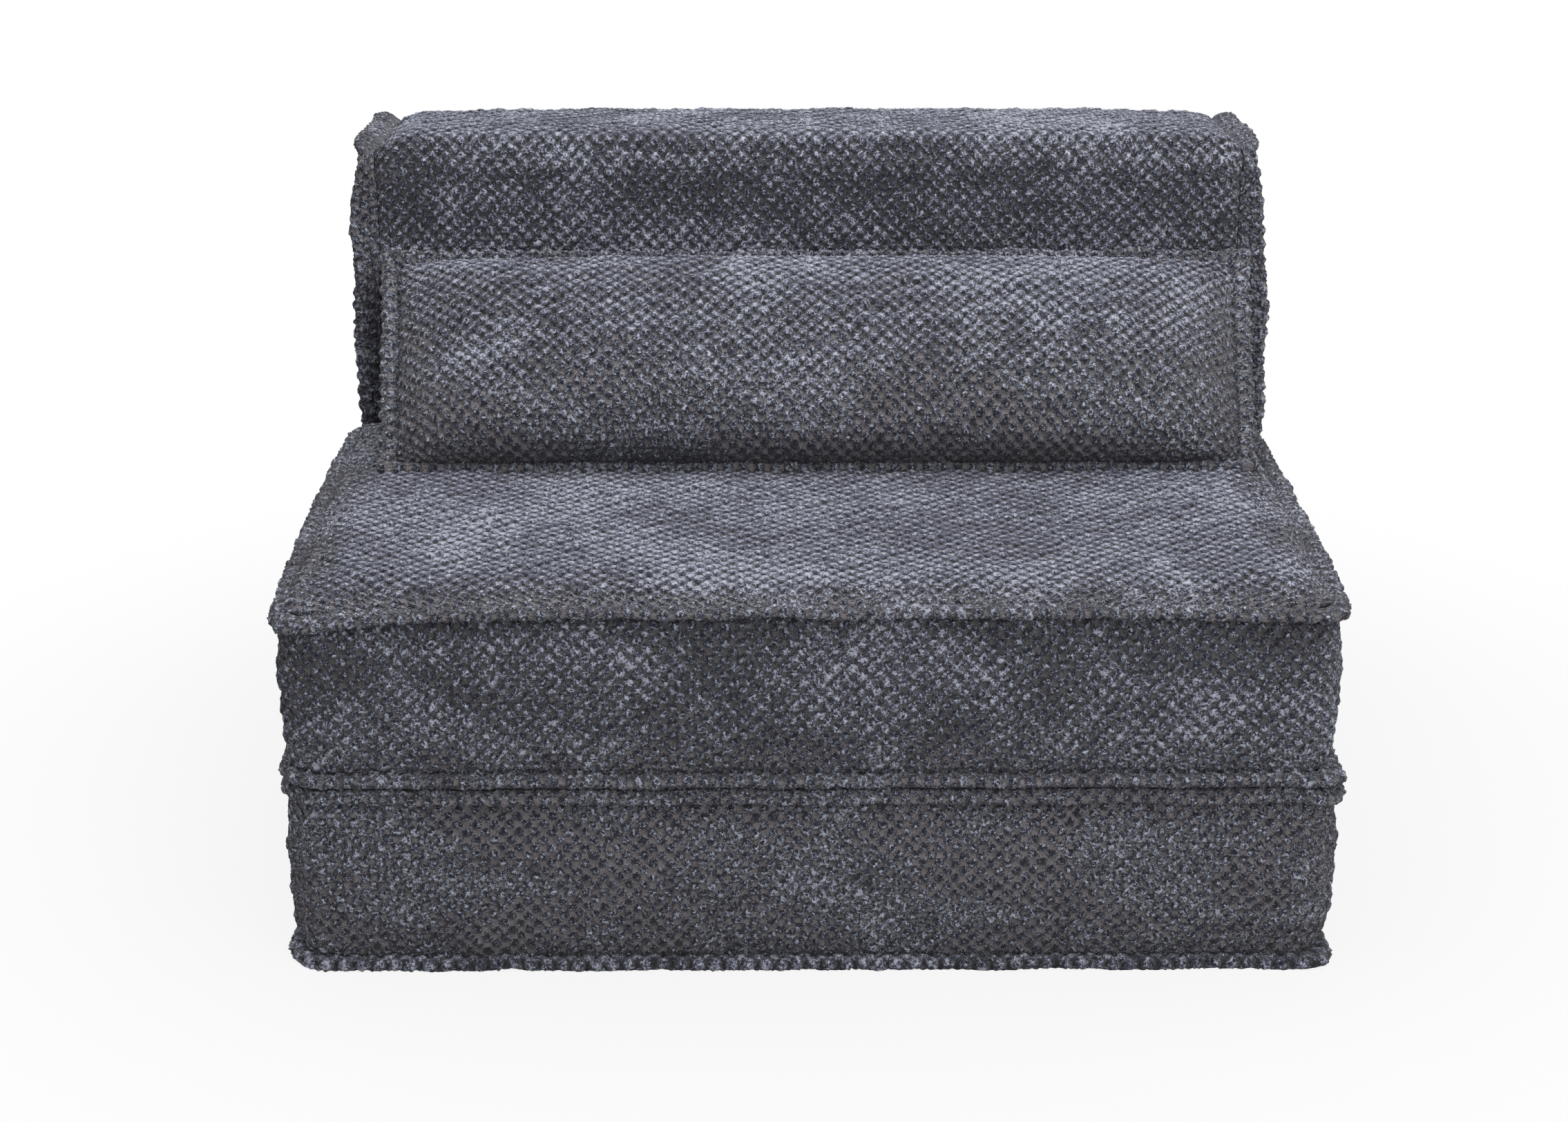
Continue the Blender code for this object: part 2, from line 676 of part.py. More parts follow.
def make_pillow(looks):
    """The pillow: two crowned panels, its filling and the flange round it."""
    rows, columns = PILLOW_ROW_SHARES, PILLOW_COLUMN_SHARES
    near = GAP / 2
    for name, swell, side in (
        ("pillow_front_panel", PILLOW_FRONT_SWELL, 1),
        ("pillow_back_panel", -PILLOW_BACK_SWELL, -1),
    ):
        outer = pillow_grid(swell, side * (near + COVER), 0.0, rows, columns)
        inner = pillow_grid(swell, side * near, COVER, rows, columns)
        add_object(name, *closed_sheet(outer, inner), looks["pile"])
    rows, columns = rows[1:-1], columns[1:-1]
    floor = COVER + GAP
    within = pillow_grid(PILLOW_FRONT_SWELL, -PILLOW_FILLING_GAP, floor, rows, columns)
    behind = pillow_grid(-PILLOW_BACK_SWELL, PILLOW_FILLING_GAP, floor, rows, columns)
    add_object("pillow_filling", *closed_sheet(within, behind), looks["wadding"])

    make_pillow_flange(looks["pile"])


def make_pillow_flange(look):
    """The flat edge round the pillow: its foot lies forward on the seat, the rest stands out."""
    foot, up, front, rest = pillow_frame()
    rows, columns = PILLOW_ROW_SHARES, PILLOW_COLUMN_SHARES
    forward, rise = Vector((0.0, -1.0, 0.0)), Vector((0.0, 0.0, 1.0))
    half = FLANGE_THICKNESS / 2
    edge = [(c, 0.0) for c in columns] + [(1.0, r) for r in rows[1:]]
    edge += [(c, 1.0) for c in columns[-2::-1]] + [(-1.0, r) for r in rows[-2:0:-1]]
    loops = [[], [], [], []]
    for across, along in edge:
        seam = foot + up * (PILLOW_HEIGHT * along)
        seam.x += across * PILLOW_WIDTH / 2
        away, thick = Vector((0.0, 0.0, 0.0)), front * half
        if abs(across) == 1.0:
            away.x = across
        if along == 1.0:
            away += up
        if along == 0.0:
            away += forward
            thick = rise * half
            seam.z = rest + half
        root, tip = seam + away * GAP, seam + away * PILLOW_FLANGE_WIDTH
        for loop, place in zip(loops, (root + thick, tip + thick, tip - thick, root - thick)):
            loop.append(place)
    add_object("pillow_flange", *loft(loops, ring=True), look)


def build():
    """The whole chair."""
    clear_scene()
    looks = {
        "pile": material("tufted_chenille", (0.095, 0.098, 0.122), 0.95),
        "under": material("woven_lining", (0.05, 0.05, 0.055), 0.9),
        "foam": material("polyurethane_foam", (0.72, 0.68, 0.52), 0.95),
        "wadding": material("polyester_wadding", (0.82, 0.82, 0.80), 1.0),
        "tape": material("polyester_tape", (0.06, 0.06, 0.07), 0.8),
        "metal": material("zinc_zip", (0.35, 0.35, 0.36), 0.35, 1.0),
    }
    half_flange = FLANGE_THICKNESS / 2
    base_flanges = (
        BASE_TOP - STRIP_ROOM - half_flange, FLANGE_DROOP,
        half_flange + GAP, 0.0,
    )
    seat_flanges = (
        SEAT_HEIGHT - half_flange, FLANGE_DROOP,
        SEAT_BOTTOM + STRIP_ROOM + half_flange, 0.0,
    )
    make_block("base", REAR_Y, 0.0, BASE_TOP, BASE_WADDING, 0.0, 0.0, base_flanges, looks)
    make_block(
        "seat", SEAT_REAR_Y, SEAT_BOTTOM, SEAT_HEIGHT, SEAT_WADDING, SEAT_CROWN,
        SEAT_CORNER_DROP, seat_flanges, looks,
    )
    make_hinge_strip(looks["tape"])
    make_backrest(looks)
    for place, tape_y in (
        ("front", BACK_FRONT_Y + TAPE_INSET),
        ("rear", REAR_Y - TAPE_INSET - TAPE_WIDTH),
    ):
        tape_strip("base_%s_loop_tape" % place, tape_y, LOOP_BOTTOM, looks["tape"])
        tape_strip("backrest_%s_hook_tape" % place, tape_y, HOOK_BOTTOM, looks["tape"])
    make_pillow(looks)
    make_zip("base", REAR_Y, BASE_TOP / 2, looks)
    make_zip("seat", SEAT_REAR_Y, (SEAT_BOTTOM + SEAT_HEIGHT) / 2, looks)
    make_zip("backrest", REAR_Y, BACK_BOTTOM + BACK_ZIP_HEIGHT, looks)


build()
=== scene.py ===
import math

import bpy
import numpy as np
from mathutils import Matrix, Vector


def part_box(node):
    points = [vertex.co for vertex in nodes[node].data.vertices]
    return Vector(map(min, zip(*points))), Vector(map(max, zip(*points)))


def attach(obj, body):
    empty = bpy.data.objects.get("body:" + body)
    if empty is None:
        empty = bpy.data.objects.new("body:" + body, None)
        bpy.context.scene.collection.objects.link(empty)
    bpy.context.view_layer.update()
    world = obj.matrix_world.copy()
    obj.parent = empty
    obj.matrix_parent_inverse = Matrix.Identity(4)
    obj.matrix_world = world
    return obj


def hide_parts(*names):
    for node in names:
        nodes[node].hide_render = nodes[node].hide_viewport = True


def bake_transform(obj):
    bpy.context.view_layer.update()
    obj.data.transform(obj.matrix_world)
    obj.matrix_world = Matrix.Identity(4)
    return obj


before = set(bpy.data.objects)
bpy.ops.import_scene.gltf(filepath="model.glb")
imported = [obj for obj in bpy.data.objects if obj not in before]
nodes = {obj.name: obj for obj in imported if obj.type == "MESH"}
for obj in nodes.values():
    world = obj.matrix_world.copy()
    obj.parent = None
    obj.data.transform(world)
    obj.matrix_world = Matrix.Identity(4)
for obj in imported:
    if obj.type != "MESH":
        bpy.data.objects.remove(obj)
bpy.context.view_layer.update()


# Camera. The picture is a catalogue shot: a long lens straight in front, a little above the
# backrest, so that the seat's top shows and the sides hardly do.
IMAGE_WIDTH_PIXELS = 2270
FOCAL_PIXELS = 4212.8
FILM_WIDTH_MM = 36
CAMERA_PLACE = (-0.0383, -2.949, 1.2911)
CAMERA_PITCH = 0.338
CAMERA_YAW = -0.0055

lens = bpy.data.cameras.new("catalogue_lens")
lens.sensor_fit = "HORIZONTAL"
lens.sensor_width = FILM_WIDTH_MM
lens.lens = FOCAL_PIXELS / IMAGE_WIDTH_PIXELS * FILM_WIDTH_MM
camera = bpy.data.objects.new("catalogue_camera", lens)
camera.location = CAMERA_PLACE
camera.rotation_euler = (math.pi / 2 - CAMERA_PITCH, 0, CAMERA_YAW)
bpy.context.collection.objects.link(camera)
bpy.context.scene.camera = camera


# Foam cores. Slabs of flexible polyurethane foam, cut with a hot wire and left with their open
# cells. They carry the load, and nobody sees them until a cover is unzipped.
FOAM_CREAM = "E6DDBE"
FOAM_CELL_SHADE = "B9AC84"
FOAM_CELL = 0.0012


def linear(hex_colour):
    """An sRGB hex colour as the linear numbers that Blender's sockets take."""
    shares = [int(hex_colour[i:i + 2], 16) / 255 for i in (0, 2, 4)]
    return [c / 12.92 if c <= 0.04045 else ((c + 0.055) / 1.055) ** 2.4 for c in shares] + [1.0]


def add(tree, kind, inputs=None, out=0, **settings):
    """Add a node with its settings, feed it values or other nodes' outputs, and give its output."""
    made = tree.nodes.new("ShaderNode" + kind)
    for name, value in settings.items():
        setattr(made, name, value)
    for name, value in (inputs or {}).items():
        if isinstance(value, bpy.types.NodeSocket):
            tree.links.new(value, made.inputs[name])
        else:
            made.inputs[name].default_value = value
    return made.outputs[out]


def new_finish(name, roughness, metallic=0.0, sheen=0.0):
    """A material with its nodes, its Principled shader and the places on the object."""
    made = bpy.data.materials.new(name)
    made.use_nodes = True
    own = made.node_tree
    principled = own.nodes["Principled BSDF"]
    principled.inputs["Roughness"].default_value = roughness
    principled.inputs["Metallic"].default_value = metallic
    principled.inputs["Sheen Weight"].default_value = sheen
    return made, own, principled, add(own, "TexCoord", out="Object")


def patterned(tree, shader, pattern, dark, light, depth=0.0):
    """Colour a finish from one shade to another by a pattern, and raise the pattern by a depth."""
    colour = add(tree, "Mix", {0: pattern, 6: linear(dark), 7: linear(light)}, out=2,
                 data_type="RGBA")
    tree.links.new(colour, shader.inputs["Base Color"])
    if depth:
        relief = add(tree, "Bump", {"Height": pattern, "Distance": depth})
        tree.links.new(relief, shader.inputs["Normal"])


def dress(finish, *node_names):
    """Give carried-over solids their finish."""
    for name in node_names:
        slots = nodes[name].data.materials
        slots.clear()
        slots.append(finish)


# Open-cell foam: matt and cream, with pinholes about a millimetre across
foam, tree, shader, place = new_finish("cut_polyurethane_foam", 0.95)
cells = add(tree, "TexVoronoi", {"Vector": place, "Scale": 1 / FOAM_CELL})
patterned(tree, shader, cells, FOAM_CELL_SHADE, FOAM_CREAM, FOAM_CELL / 2)
dress(foam, "base_foam_core", "seat_foam_core", "backrest_foam_core")


# Wadding. Lofted polyester fibre, laid on the foam before the cover goes on, which rounds the
# edges and gives the top its soft crown.
WADDING_WHITE = "F2F2EF"
WADDING_SHADE = "CFCFCA"
WADDING_FIBRE = 0.0009

# Carded polyester: white and fluffy, with short crossed fibres, drawn coarse enough to show
wadding, tree, shader, place = new_finish("carded_polyester_wadding", 1.0, sheen=0.2)
fibres = add(tree, "TexNoise", {"Vector": place, "Scale": 1 / WADDING_FIBRE, "Detail": 3,
                                "Distortion": 2})
patterned(tree, shader, fibres, WADDING_SHADE, WADDING_WHITE, WADDING_FIBRE)
dress(wadding, "base_wadding", "seat_wadding", "backrest_wadding")


# Base cover, boxing. The band round the lower block, cut from popcorn chenille: soft chenille yarn
# thrown up in staggered tufts over a flat taupe ground. It is sewn to the panels with its seams
# turned out.
TUFT_PITCH = 0.016
TUFT_ROW = 0.008
TUFT_RISE = 0.0048
TUFT_HALF = 0.44
TUFT_FOOT = 0.75
TUFT_HEAD = 1.05
TUFT_WANDER = 0.16
TUFT_FULLNESS = 0.4
TUFT_UNEVENNESS = 0.28
PILE_FRAY = 0.0003
OPEN_SHRINK = 0.46
OPEN_SHRINK_MODELLED = 0.6
EDGE_FADE = 0.005
EDGE_LEAST = 0.3
PARTED_SLOPE = 0.8
PARTED_AND_SHADED_ON_LIPS = 0.85
PAINTED_SHADE_BENEATH = 0.6
PARTED_AND_SHADED_AT_SEAM = 1.4
LAYERS = ((0.0, 0.0), (0.5, 1.0))
LOT_COLUMNS, LOT_ROWS = 89, 97

PILE_DARK = "14151F"
PILE_LOW = "323442"
PILE_MID = "5F6275"
PILE_LIGHT = "BCC0CF"
PAINTED_GAP_SHADE = "14151C"
GROUND_TAUPE = "938D92"
FLECK = 0.0034
FLECK_MEAN = 0.47
STRAND_SHARE = 0.50
STRAND_WIDTH = 0.0014
STRAND_LENGTH = 0.0040
RAGGED_EDGE = 0.0018
STRAY = (0.40, 0.70, 0.0)
STRAY_LYING, STRAY_UPRIGHT = 0.70, 0.65
FLECKED_LYING, FLECKED_UPRIGHT = 0.72, 0.70
NAP_DEPTH = 0.0048
NAP_OF_FLECKS = 0.25
DOME_FULLNESS = 0.75
TOUSLED = 0.30
CLOUD = 0.15
CLOUD_SQUASH = (1.0, 1.0, 1.5)
OPEN_MEAN, OPEN_BY_CLOUD = 0.68, -0.8
GAP_START = 0.07
SHADE_START = -0.105
SHADE_BY_LOT = 0.13
SHADE_BY_CLOUD = 0.25
PAINTED_SHADE_WHERE_PARTED = -0.33
PAINTED_TUFT_LIGHT_AND_SHADE = 0.86
PAINTED_SHADE_ON_UNDERSIDES = -0.36

CLOTH_THICKNESS = 0.0030
BAND_SPACING = 0.0125
BAND_ROWS = 12
BAND_RIPPLE = 0.0012
BASE_BULGE = 0.0080
BASE_RIGHT_BULGE = 0.7
SEAM_PINCH = 0.0010
SEAM_BLEND = 0.08
CORNER_RADIUS = 0.028
FILLED_PRESSURE = 4.0
FILLED_FRAMES = 20
FILLED_MASS = 0.3
FILLED_STIFFNESS = 0.5
FILLED_SLACK = 0.012
BOXING_PUFF = 0.003
ZIP_COVER = 0.004
ZIP_FOLD = 0.006
ZIP_END = 0.018
ZIP_CLEARANCE = 0.0006
ZIP_FOLD_THICKNESS = 0.0022

# Popcorn chenille: dense matt tufts, flecked up close and cloudy from afar where the pile has been
# brushed. The flecks are partly the yarn's light and dark fibres and partly painted glints on its fibre
# tips. Real fibres are finer than a tenth of a millimetre, so flecks and strands are drawn coarse
# enough to show.
pile, tree, shader, place = new_finish("popcorn_chenille", 0.93, sheen=0.25)
shader.inputs["Sheen Roughness"].default_value = 0.45
shader.inputs["Specular IOR Level"].default_value = 0.25
weave = add(tree, "Attribute", attribute_name="weave_at", out="Vector")

# Where the cloth stands upright its tufts part, more so in some patches, and their edges fray. The
# parted tufts are also painted darker: painted shade on upright and downturned faces
turned = add(tree, "SeparateXYZ", {0: weave}, out=2)
stray = add(tree, "TexNoise", {"Vector": place, "Scale": 1 / RAGGED_EDGE, "Detail": 2},
            out="Color")
stray = add(tree, "VectorMath", {0: stray, 1: (0.5, 0.5, 0.5)}, operation="SUBTRACT")
stray = add(tree, "VectorMath", {0: stray, 1: STRAY}, operation="MULTIPLY")
straying = add(tree, "Math", {0: turned, 1: STRAY_UPRIGHT, 2: STRAY_LYING},
               operation="MULTIPLY_ADD")
stray = add(tree, "VectorMath", {0: stray, "Scale": straying}, operation="SCALE")
weave = add(tree, "VectorMath", {0: weave, 1: stray}, operation="ADD")
across = add(tree, "SeparateXYZ", {0: weave}, out=0)
along = add(tree, "SeparateXYZ", {0: weave}, out=1)
brushed = add(tree, "VectorMath", {0: place, 1: CLOUD_SQUASH}, operation="MULTIPLY")
clouds = add(tree, "TexNoise", {"Vector": brushed, "Scale": 1 / CLOUD, "Detail": 3,
                                "Roughness": 0.6, "Distortion": 0.8})
cloud = add(tree, "MapRange", {0: clouds, 1: 0.36, 2: 0.64, 3: -0.5, 4: 0.5})
flattened = add(tree, "Math", {0: cloud, 1: OPEN_BY_CLOUD, 2: OPEN_MEAN},
                operation="MULTIPLY_ADD", use_clamp=True)
parting_and_shade = add(tree, "Math", {0: turned, 1: flattened}, operation="MULTIPLY", use_clamp=True)

# The tufts are two layers of rounded lozenges, each with a random number of its own
bodies, lots = [], []
for shift_across, shift_along in LAYERS:
    column = add(tree, "Math", {0: across, 1: 0.5 - shift_across}, operation="ADD")
    row = add(tree, "Math", {0: along, 1: 0.5, 2: (1 - shift_along) / 2}, operation="MULTIPLY_ADD")
    dx = add(tree, "Math", {0: column}, operation="FRACT")
    dx = add(tree, "Math", {0: dx, 1: 1 / TUFT_HALF, 2: -0.5 / TUFT_HALF}, operation="MULTIPLY_ADD")
    dy = add(tree, "Math", {0: row}, operation="FRACT")
    dy = add(tree, "Math", {0: dy, 1: 2.0, 2: -1.0}, operation="MULTIPLY_ADD")
    head = add(tree, "Math", {0: dy, 1: TUFT_HEAD}, operation="DIVIDE")
    foot = add(tree, "Math", {0: dy, 1: -TUFT_FOOT}, operation="DIVIDE")
    dy = add(tree, "Math", {0: head, 1: foot}, operation="MAXIMUM")
    reach = add(tree, "CombineXYZ", {0: dx, 1: dy})
    reach = add(tree, "VectorMath", {0: reach, 1: reach}, out="Value", operation="DOT_PRODUCT")
    bodies.append(add(tree, "Math", {0: 1.0, 1: reach}, operation="SUBTRACT"))
    whole_column = add(tree, "Math", {0: column}, operation="FLOOR")
    whole_row = add(tree, "Math", {0: row}, operation="FLOOR")
    lot = add(tree, "CombineXYZ", {0: whole_column, 1: whole_row, 2: shift_along})
    lots.append(add(tree, "TexWhiteNoise", {"Vector": lot}, noise_dimensions="3D"))
body = add(tree, "Math", {0: bodies[0], 1: bodies[1]}, operation="MAXIMUM")
second = add(tree, "Math", {0: bodies[1], 1: bodies[0]}, operation="GREATER_THAN")
lot = add(tree, "Mix", {0: second, 2: lots[0], 3: lots[1]}, data_type="FLOAT")
dome = add(tree, "Math", {0: body, 1: 1.0}, operation="MULTIPLY", use_clamp=True)
dome = add(tree, "Math", {0: dome, 1: DOME_FULLNESS}, operation="POWER")

# Flecks are blots and short strands, which lie in each tuft at an angle of its own
flecks = add(tree, "TexNoise", {"Vector": place, "Scale": 1 / FLECK, "Detail": 2, "Roughness": 0.7})
fleck = add(tree, "MapRange", {0: flecks, 1: 0.42, 2: 0.60})
strands = add(tree, "VectorMath", {0: weave, 1: (TUFT_PITCH, TUFT_ROW, 0.0)}, operation="MULTIPLY")
turn = add(tree, "Math", {0: lot, 1: math.pi}, operation="MULTIPLY")
strands = add(tree, "VectorRotate", {"Vector": strands, "Angle": turn}, rotation_type="Z_AXIS")
strands = add(tree, "VectorMath", {0: strands, 1: (1 / STRAND_WIDTH, 1 / STRAND_LENGTH, 0.0)},
              operation="MULTIPLY")
strands = add(tree, "TexNoise", {"Vector": strands, "Scale": 1.0, "Detail": 1, "Roughness": 0.6})
strand = add(tree, "MapRange", {0: strands, 1: 0.38, 2: 0.62})
fleck = add(tree, "Mix", {0: STRAND_SHARE, 2: fleck, 3: strand}, data_type="FLOAT")

# The tone mixes the yarn's flecks, lots and clouds with painted light: a painted highlight on each
# tuft's top, painted shade at its rim, and painted shade where the tufts part. Where they part the
# ground shows
amount = add(tree, "Math", {0: turned, 1: FLECKED_UPRIGHT, 2: FLECKED_LYING},
             operation="MULTIPLY_ADD")
shade = add(tree, "Math", {0: fleck, 1: FLECK_MEAN}, operation="SUBTRACT")
shade = add(tree, "Math", {0: shade, 1: amount, 2: SHADE_START}, operation="MULTIPLY_ADD")
tousled = add(tree, "Math", {0: turned, 1: TOUSLED}, operation="MULTIPLY", use_clamp=True)
tuft = add(tree, "Mix", {0: tousled, 2: dome, 3: fleck}, data_type="FLOAT")
# Painted shade: faces turned down, such as the pillow's lower front, are painted darker still
under = add(tree, "MapRange", {0: turned, 1: 1.0, 2: 1.3})
for cause, weight in ((lot, SHADE_BY_LOT), (cloud, SHADE_BY_CLOUD), (parting_and_shade, PAINTED_SHADE_WHERE_PARTED),
                      (tuft, PAINTED_TUFT_LIGHT_AND_SHADE), (under, PAINTED_SHADE_ON_UNDERSIDES)):
    shade = add(tree, "Math", {0: cause, 1: weight, 2: shade}, operation="MULTIPLY_ADD")
yarn = add(tree, "ValToRGB", {0: shade})
stops = yarn.node.color_ramp.elements
stops[0].color, stops[1].color = linear(PILE_DARK), linear(PILE_LIGHT)
for stop, colour in ((0.30, PILE_LOW), (0.62, PILE_MID)):
    stops.new(stop).color = linear(colour)
gap_edge = add(tree, "Math", {0: parting_and_shade, 1: OPEN_SHRINK, 2: GAP_START}, operation="MULTIPLY_ADD")
gap = add(tree, "Math", {0: gap_edge, 1: body}, operation="SUBTRACT")
gap = add(tree, "MapRange", {0: gap, 1: -0.05, 2: 0.10})
# Painted shade: between tufts on faces that don't stand upright the gaps are painted near-black; on
# upright faces the taupe ground shows
bare = add(tree, "MapRange", {0: turned, 1: 0.62, 2: 0.80})
ground_and_gap_shade = add(tree, "Mix", {0: bare, 6: linear(PAINTED_GAP_SHADE), 7: linear(GROUND_TAUPE)}, out=2,
             data_type="RGBA")
pile_colour = add(tree, "Mix", {0: gap, 6: yarn, 7: ground_and_gap_shade}, out=2, data_type="RGBA")
tree.links.new(pile_colour, shader.inputs["Base Color"])
nap = add(tree, "Math", {0: fleck, 1: NAP_OF_FLECKS, 2: dome}, operation="MULTIPLY_ADD")
nap = add(tree, "Bump", {"Height": nap, "Distance": NAP_DEPTH})
tree.links.new(nap, shader.inputs["Normal"])


def finer(places, count, closed=False):
    """Smooth curves through the first axis of a grid of places, sampled anew."""
    n = len(places)
    at = np.linspace(0, n if closed else n - 1, count, endpoint=not closed)
    low = np.floor(at).astype(int)
    if not closed:
        low = np.minimum(low, n - 2)
    t = (at - low).reshape(-1, *([1] * (places.ndim - 1)))
    a, b, c, d = (
        places[(low + k) % n] if closed else places[np.clip(low + k, 0, n - 1)]
        for k in (-1, 0, 1, 2)
    )
    return b + 0.5 * t * (c - a + t * (2 * a - 5 * b + 4 * c - d + t * (3 * (b - c) + d - a)))


def slopes(grid, axis, closed):
    """Steps from each place of a grid to its neighbours along one axis."""
    if closed:
        return np.roll(grid, -1, axis) - np.roll(grid, 1, axis)
    return np.gradient(grid, axis=axis)


def unit(vectors):
    """Vectors scaled to a length of one."""
    return vectors / np.maximum(np.linalg.norm(vectors, axis=-1, keepdims=True), 1e-12)


def outward(grid, closed_across=False, closed_along=False):
    """The outward direction at each place of a grid."""
    return unit(np.cross(slopes(grid, 1, closed_across), slopes(grid, 0, closed_along)))


WAVES = ((0.45, 23, 9, 1.7), (0.30, -31, 47, 2.9), (0.25, 83, 61, 4.1))


def wander(x, y, seed):
    """A slow wave between about -1 and 1, for cloth that isn't laid quite straight."""
    return sum(size * np.sin(a * x + b * y + c * seed) for size, a, b, c in WAVES)


def laid_lengths(grid, axis, closed):
    """How far along the cloth each row or column of a grid lies, in metres."""
    wrap = {"append": np.take(grid, [0], axis)} if closed else {}
    steps = np.linalg.norm(np.diff(grid, axis=axis, **wrap), axis=-1).mean(axis=1 - axis)
    return np.concatenate([[0.0], np.cumsum(steps)])


tuft_lots = np.random.default_rng(7).uniform(-1, 1, (LOT_COLUMNS, LOT_ROWS))


def tuft_height(p, q, parted_and_shaded):
    """Height of the pile from 0 in the gaps to about 1 on the tufts."""
    best = np.zeros_like(p)
    for shift_across, shift_along in LAYERS:
        column, row = p - shift_across + 0.5, (q - shift_along + 1) / 2
        lot = tuft_lots[
            np.floor(column).astype(int) % LOT_COLUMNS, np.floor(row).astype(int) % LOT_ROWS]
        dx = (column % 1 - 0.5) / TUFT_HALF
        dy = row % 1 * 2 - 1
        dy = np.maximum(dy / TUFT_HEAD, -dy / TUFT_FOOT)
        rest = 1 - dx**2 - dy**2 - OPEN_SHRINK * parted_and_shaded * OPEN_SHRINK_MODELLED
        full = np.clip(rest, 0, 1) ** TUFT_FULLNESS
        best = np.maximum(best, full * (1 + TUFT_UNEVENNESS * lot))
    return best


# Shares of a bake map's height: a cloth's face, a tube, the cloth in a strip, and the reverse
MAP_FACE, MAP_TUBE, MAP_CLOTH, MAP_REVERSE, MAP_REVERSE_DEEP = 0.9, 0.98, 0.97, 0.92, 0.08


def cloth_object(name, outer, weave_at, inner=None, around=False, tube=False, strips=1):
    """A mesh of a grid of cloth, closed by its reverse side or, as a tube, by itself."""
    rows, columns = outer.shape[:2]
    i = np.arange(rows if tube else rows - 1)
    j = np.arange(columns if around else columns - 1)
    ii, jj = (a.reshape(-1, 1) for a in np.meshgrid(i, j, indexing="ij"))
    ci, cj = ii + [0, 0, 1, 1], jj + [0, 1, 1, 0]
    faces = [(ci % rows) * columns + cj % columns]
    weaves = [weave_at[ci, cj]]
    strip = jj * strips // len(j)
    used = MAP_TUBE if inner is None else MAP_FACE
    u = cj * strips / len(j) - strip
    v = (strip + MAP_CLOTH * ci / len(i)) / strips * used
    maps = [np.stack([u, v], axis=-1)]
    points = [outer.reshape(-1, 3)]
    if inner is not None:
        start = rows * columns
        low_rows, low_columns = inner.shape[:2]
        points.append(inner.reshape(-1, 3))
        li = np.arange(low_rows - 1)
        lj = np.arange(low_columns if around else low_columns - 1)
        ri, rj = (a.reshape(-1, 1) for a in np.meshgrid(li, lj, indexing="ij"))
        di, dj = ri + [0, 1, 1, 0], rj + [0, 0, 1, 1]
        faces.append(start + di * low_columns + dj % low_columns)
        step_i, step_j = (rows - 1) // (low_rows - 1), len(j) // len(lj)
        weaves.append(weave_at[di * step_i, dj * step_j])
        v = MAP_REVERSE + MAP_REVERSE_DEEP * di / len(li)
        maps.append(np.stack([dj / len(lj), v], axis=-1))
        edges = [(0 * lj, lj, False, False), (0 * lj + low_rows - 1, lj, True, False)]
        if not around:
            edges += [(li, 0 * li, True, True), (li, 0 * li + low_columns - 1, False, True)]
        for a, b, forward, down in edges:
            k = step_i if down else step_j
            order = np.arange(k + 1) if forward else np.arange(k, -1, -1)
            ends = np.array([1, 0] if forward else [0, 1])
            oi = a[:, None] * step_i + order * down
            oj = b[:, None] * step_j + order * (not down)
            ei = a[:, None] + ends * down
            ej = b[:, None] + ends * (not down)
            faces.append(np.hstack([
                oi * columns + oj % columns, start + ei * low_columns + ej % low_columns,
            ]))
            wi, wj = np.hstack([oi, ei * step_i]), np.hstack([oj, ej * step_j])
            weaves.append(weave_at[wi, wj])
            u = wj / len(j)
            maps.append(np.stack([u * strips % 1, 0 * u + 0.5 * used / strips], axis=-1))
    if tube and not around:
        for column, order in ((0, 1), (columns - 1, -1)):
            ring = np.arange(rows)[None, ::order]
            faces.append(ring * columns + column)
            weaves.append(weave_at[ring, np.full_like(ring, column)])
            maps.append(np.zeros(ring.shape + (2,)))
    sizes = np.concatenate([np.full(len(f), f.shape[1]) for f in faces])
    places, corners, laid, unrolled = (
        np.concatenate([part.ravel() for part in parts]) for parts in (points, faces, weaves, maps)
    )
    mesh = bpy.data.meshes.new(name)
    mesh.vertices.add(len(places) // 3)
    mesh.vertices.foreach_set("co", places.astype(np.float32))
    mesh.loops.add(len(corners))
    mesh.loops.foreach_set("vertex_index", corners.astype(np.int32))
    mesh.polygons.add(len(sizes))
    mesh.polygons.foreach_set("loop_start", (np.cumsum(sizes) - sizes).astype(np.int32))
    mesh.update(calc_edges=True)
    mesh.shade_smooth()
    weave = mesh.attributes.new("weave_at", "FLOAT_VECTOR", "CORNER")
    weave.data.foreach_set("vector", laid.astype(np.float32))
    bake = mesh.uv_layers.new(name="OFBake")
    bake.data.foreach_set("uv", unrolled.astype(np.float32))
    made = bpy.data.objects.new(name, mesh)
    bpy.context.collection.objects.link(made)
    return made


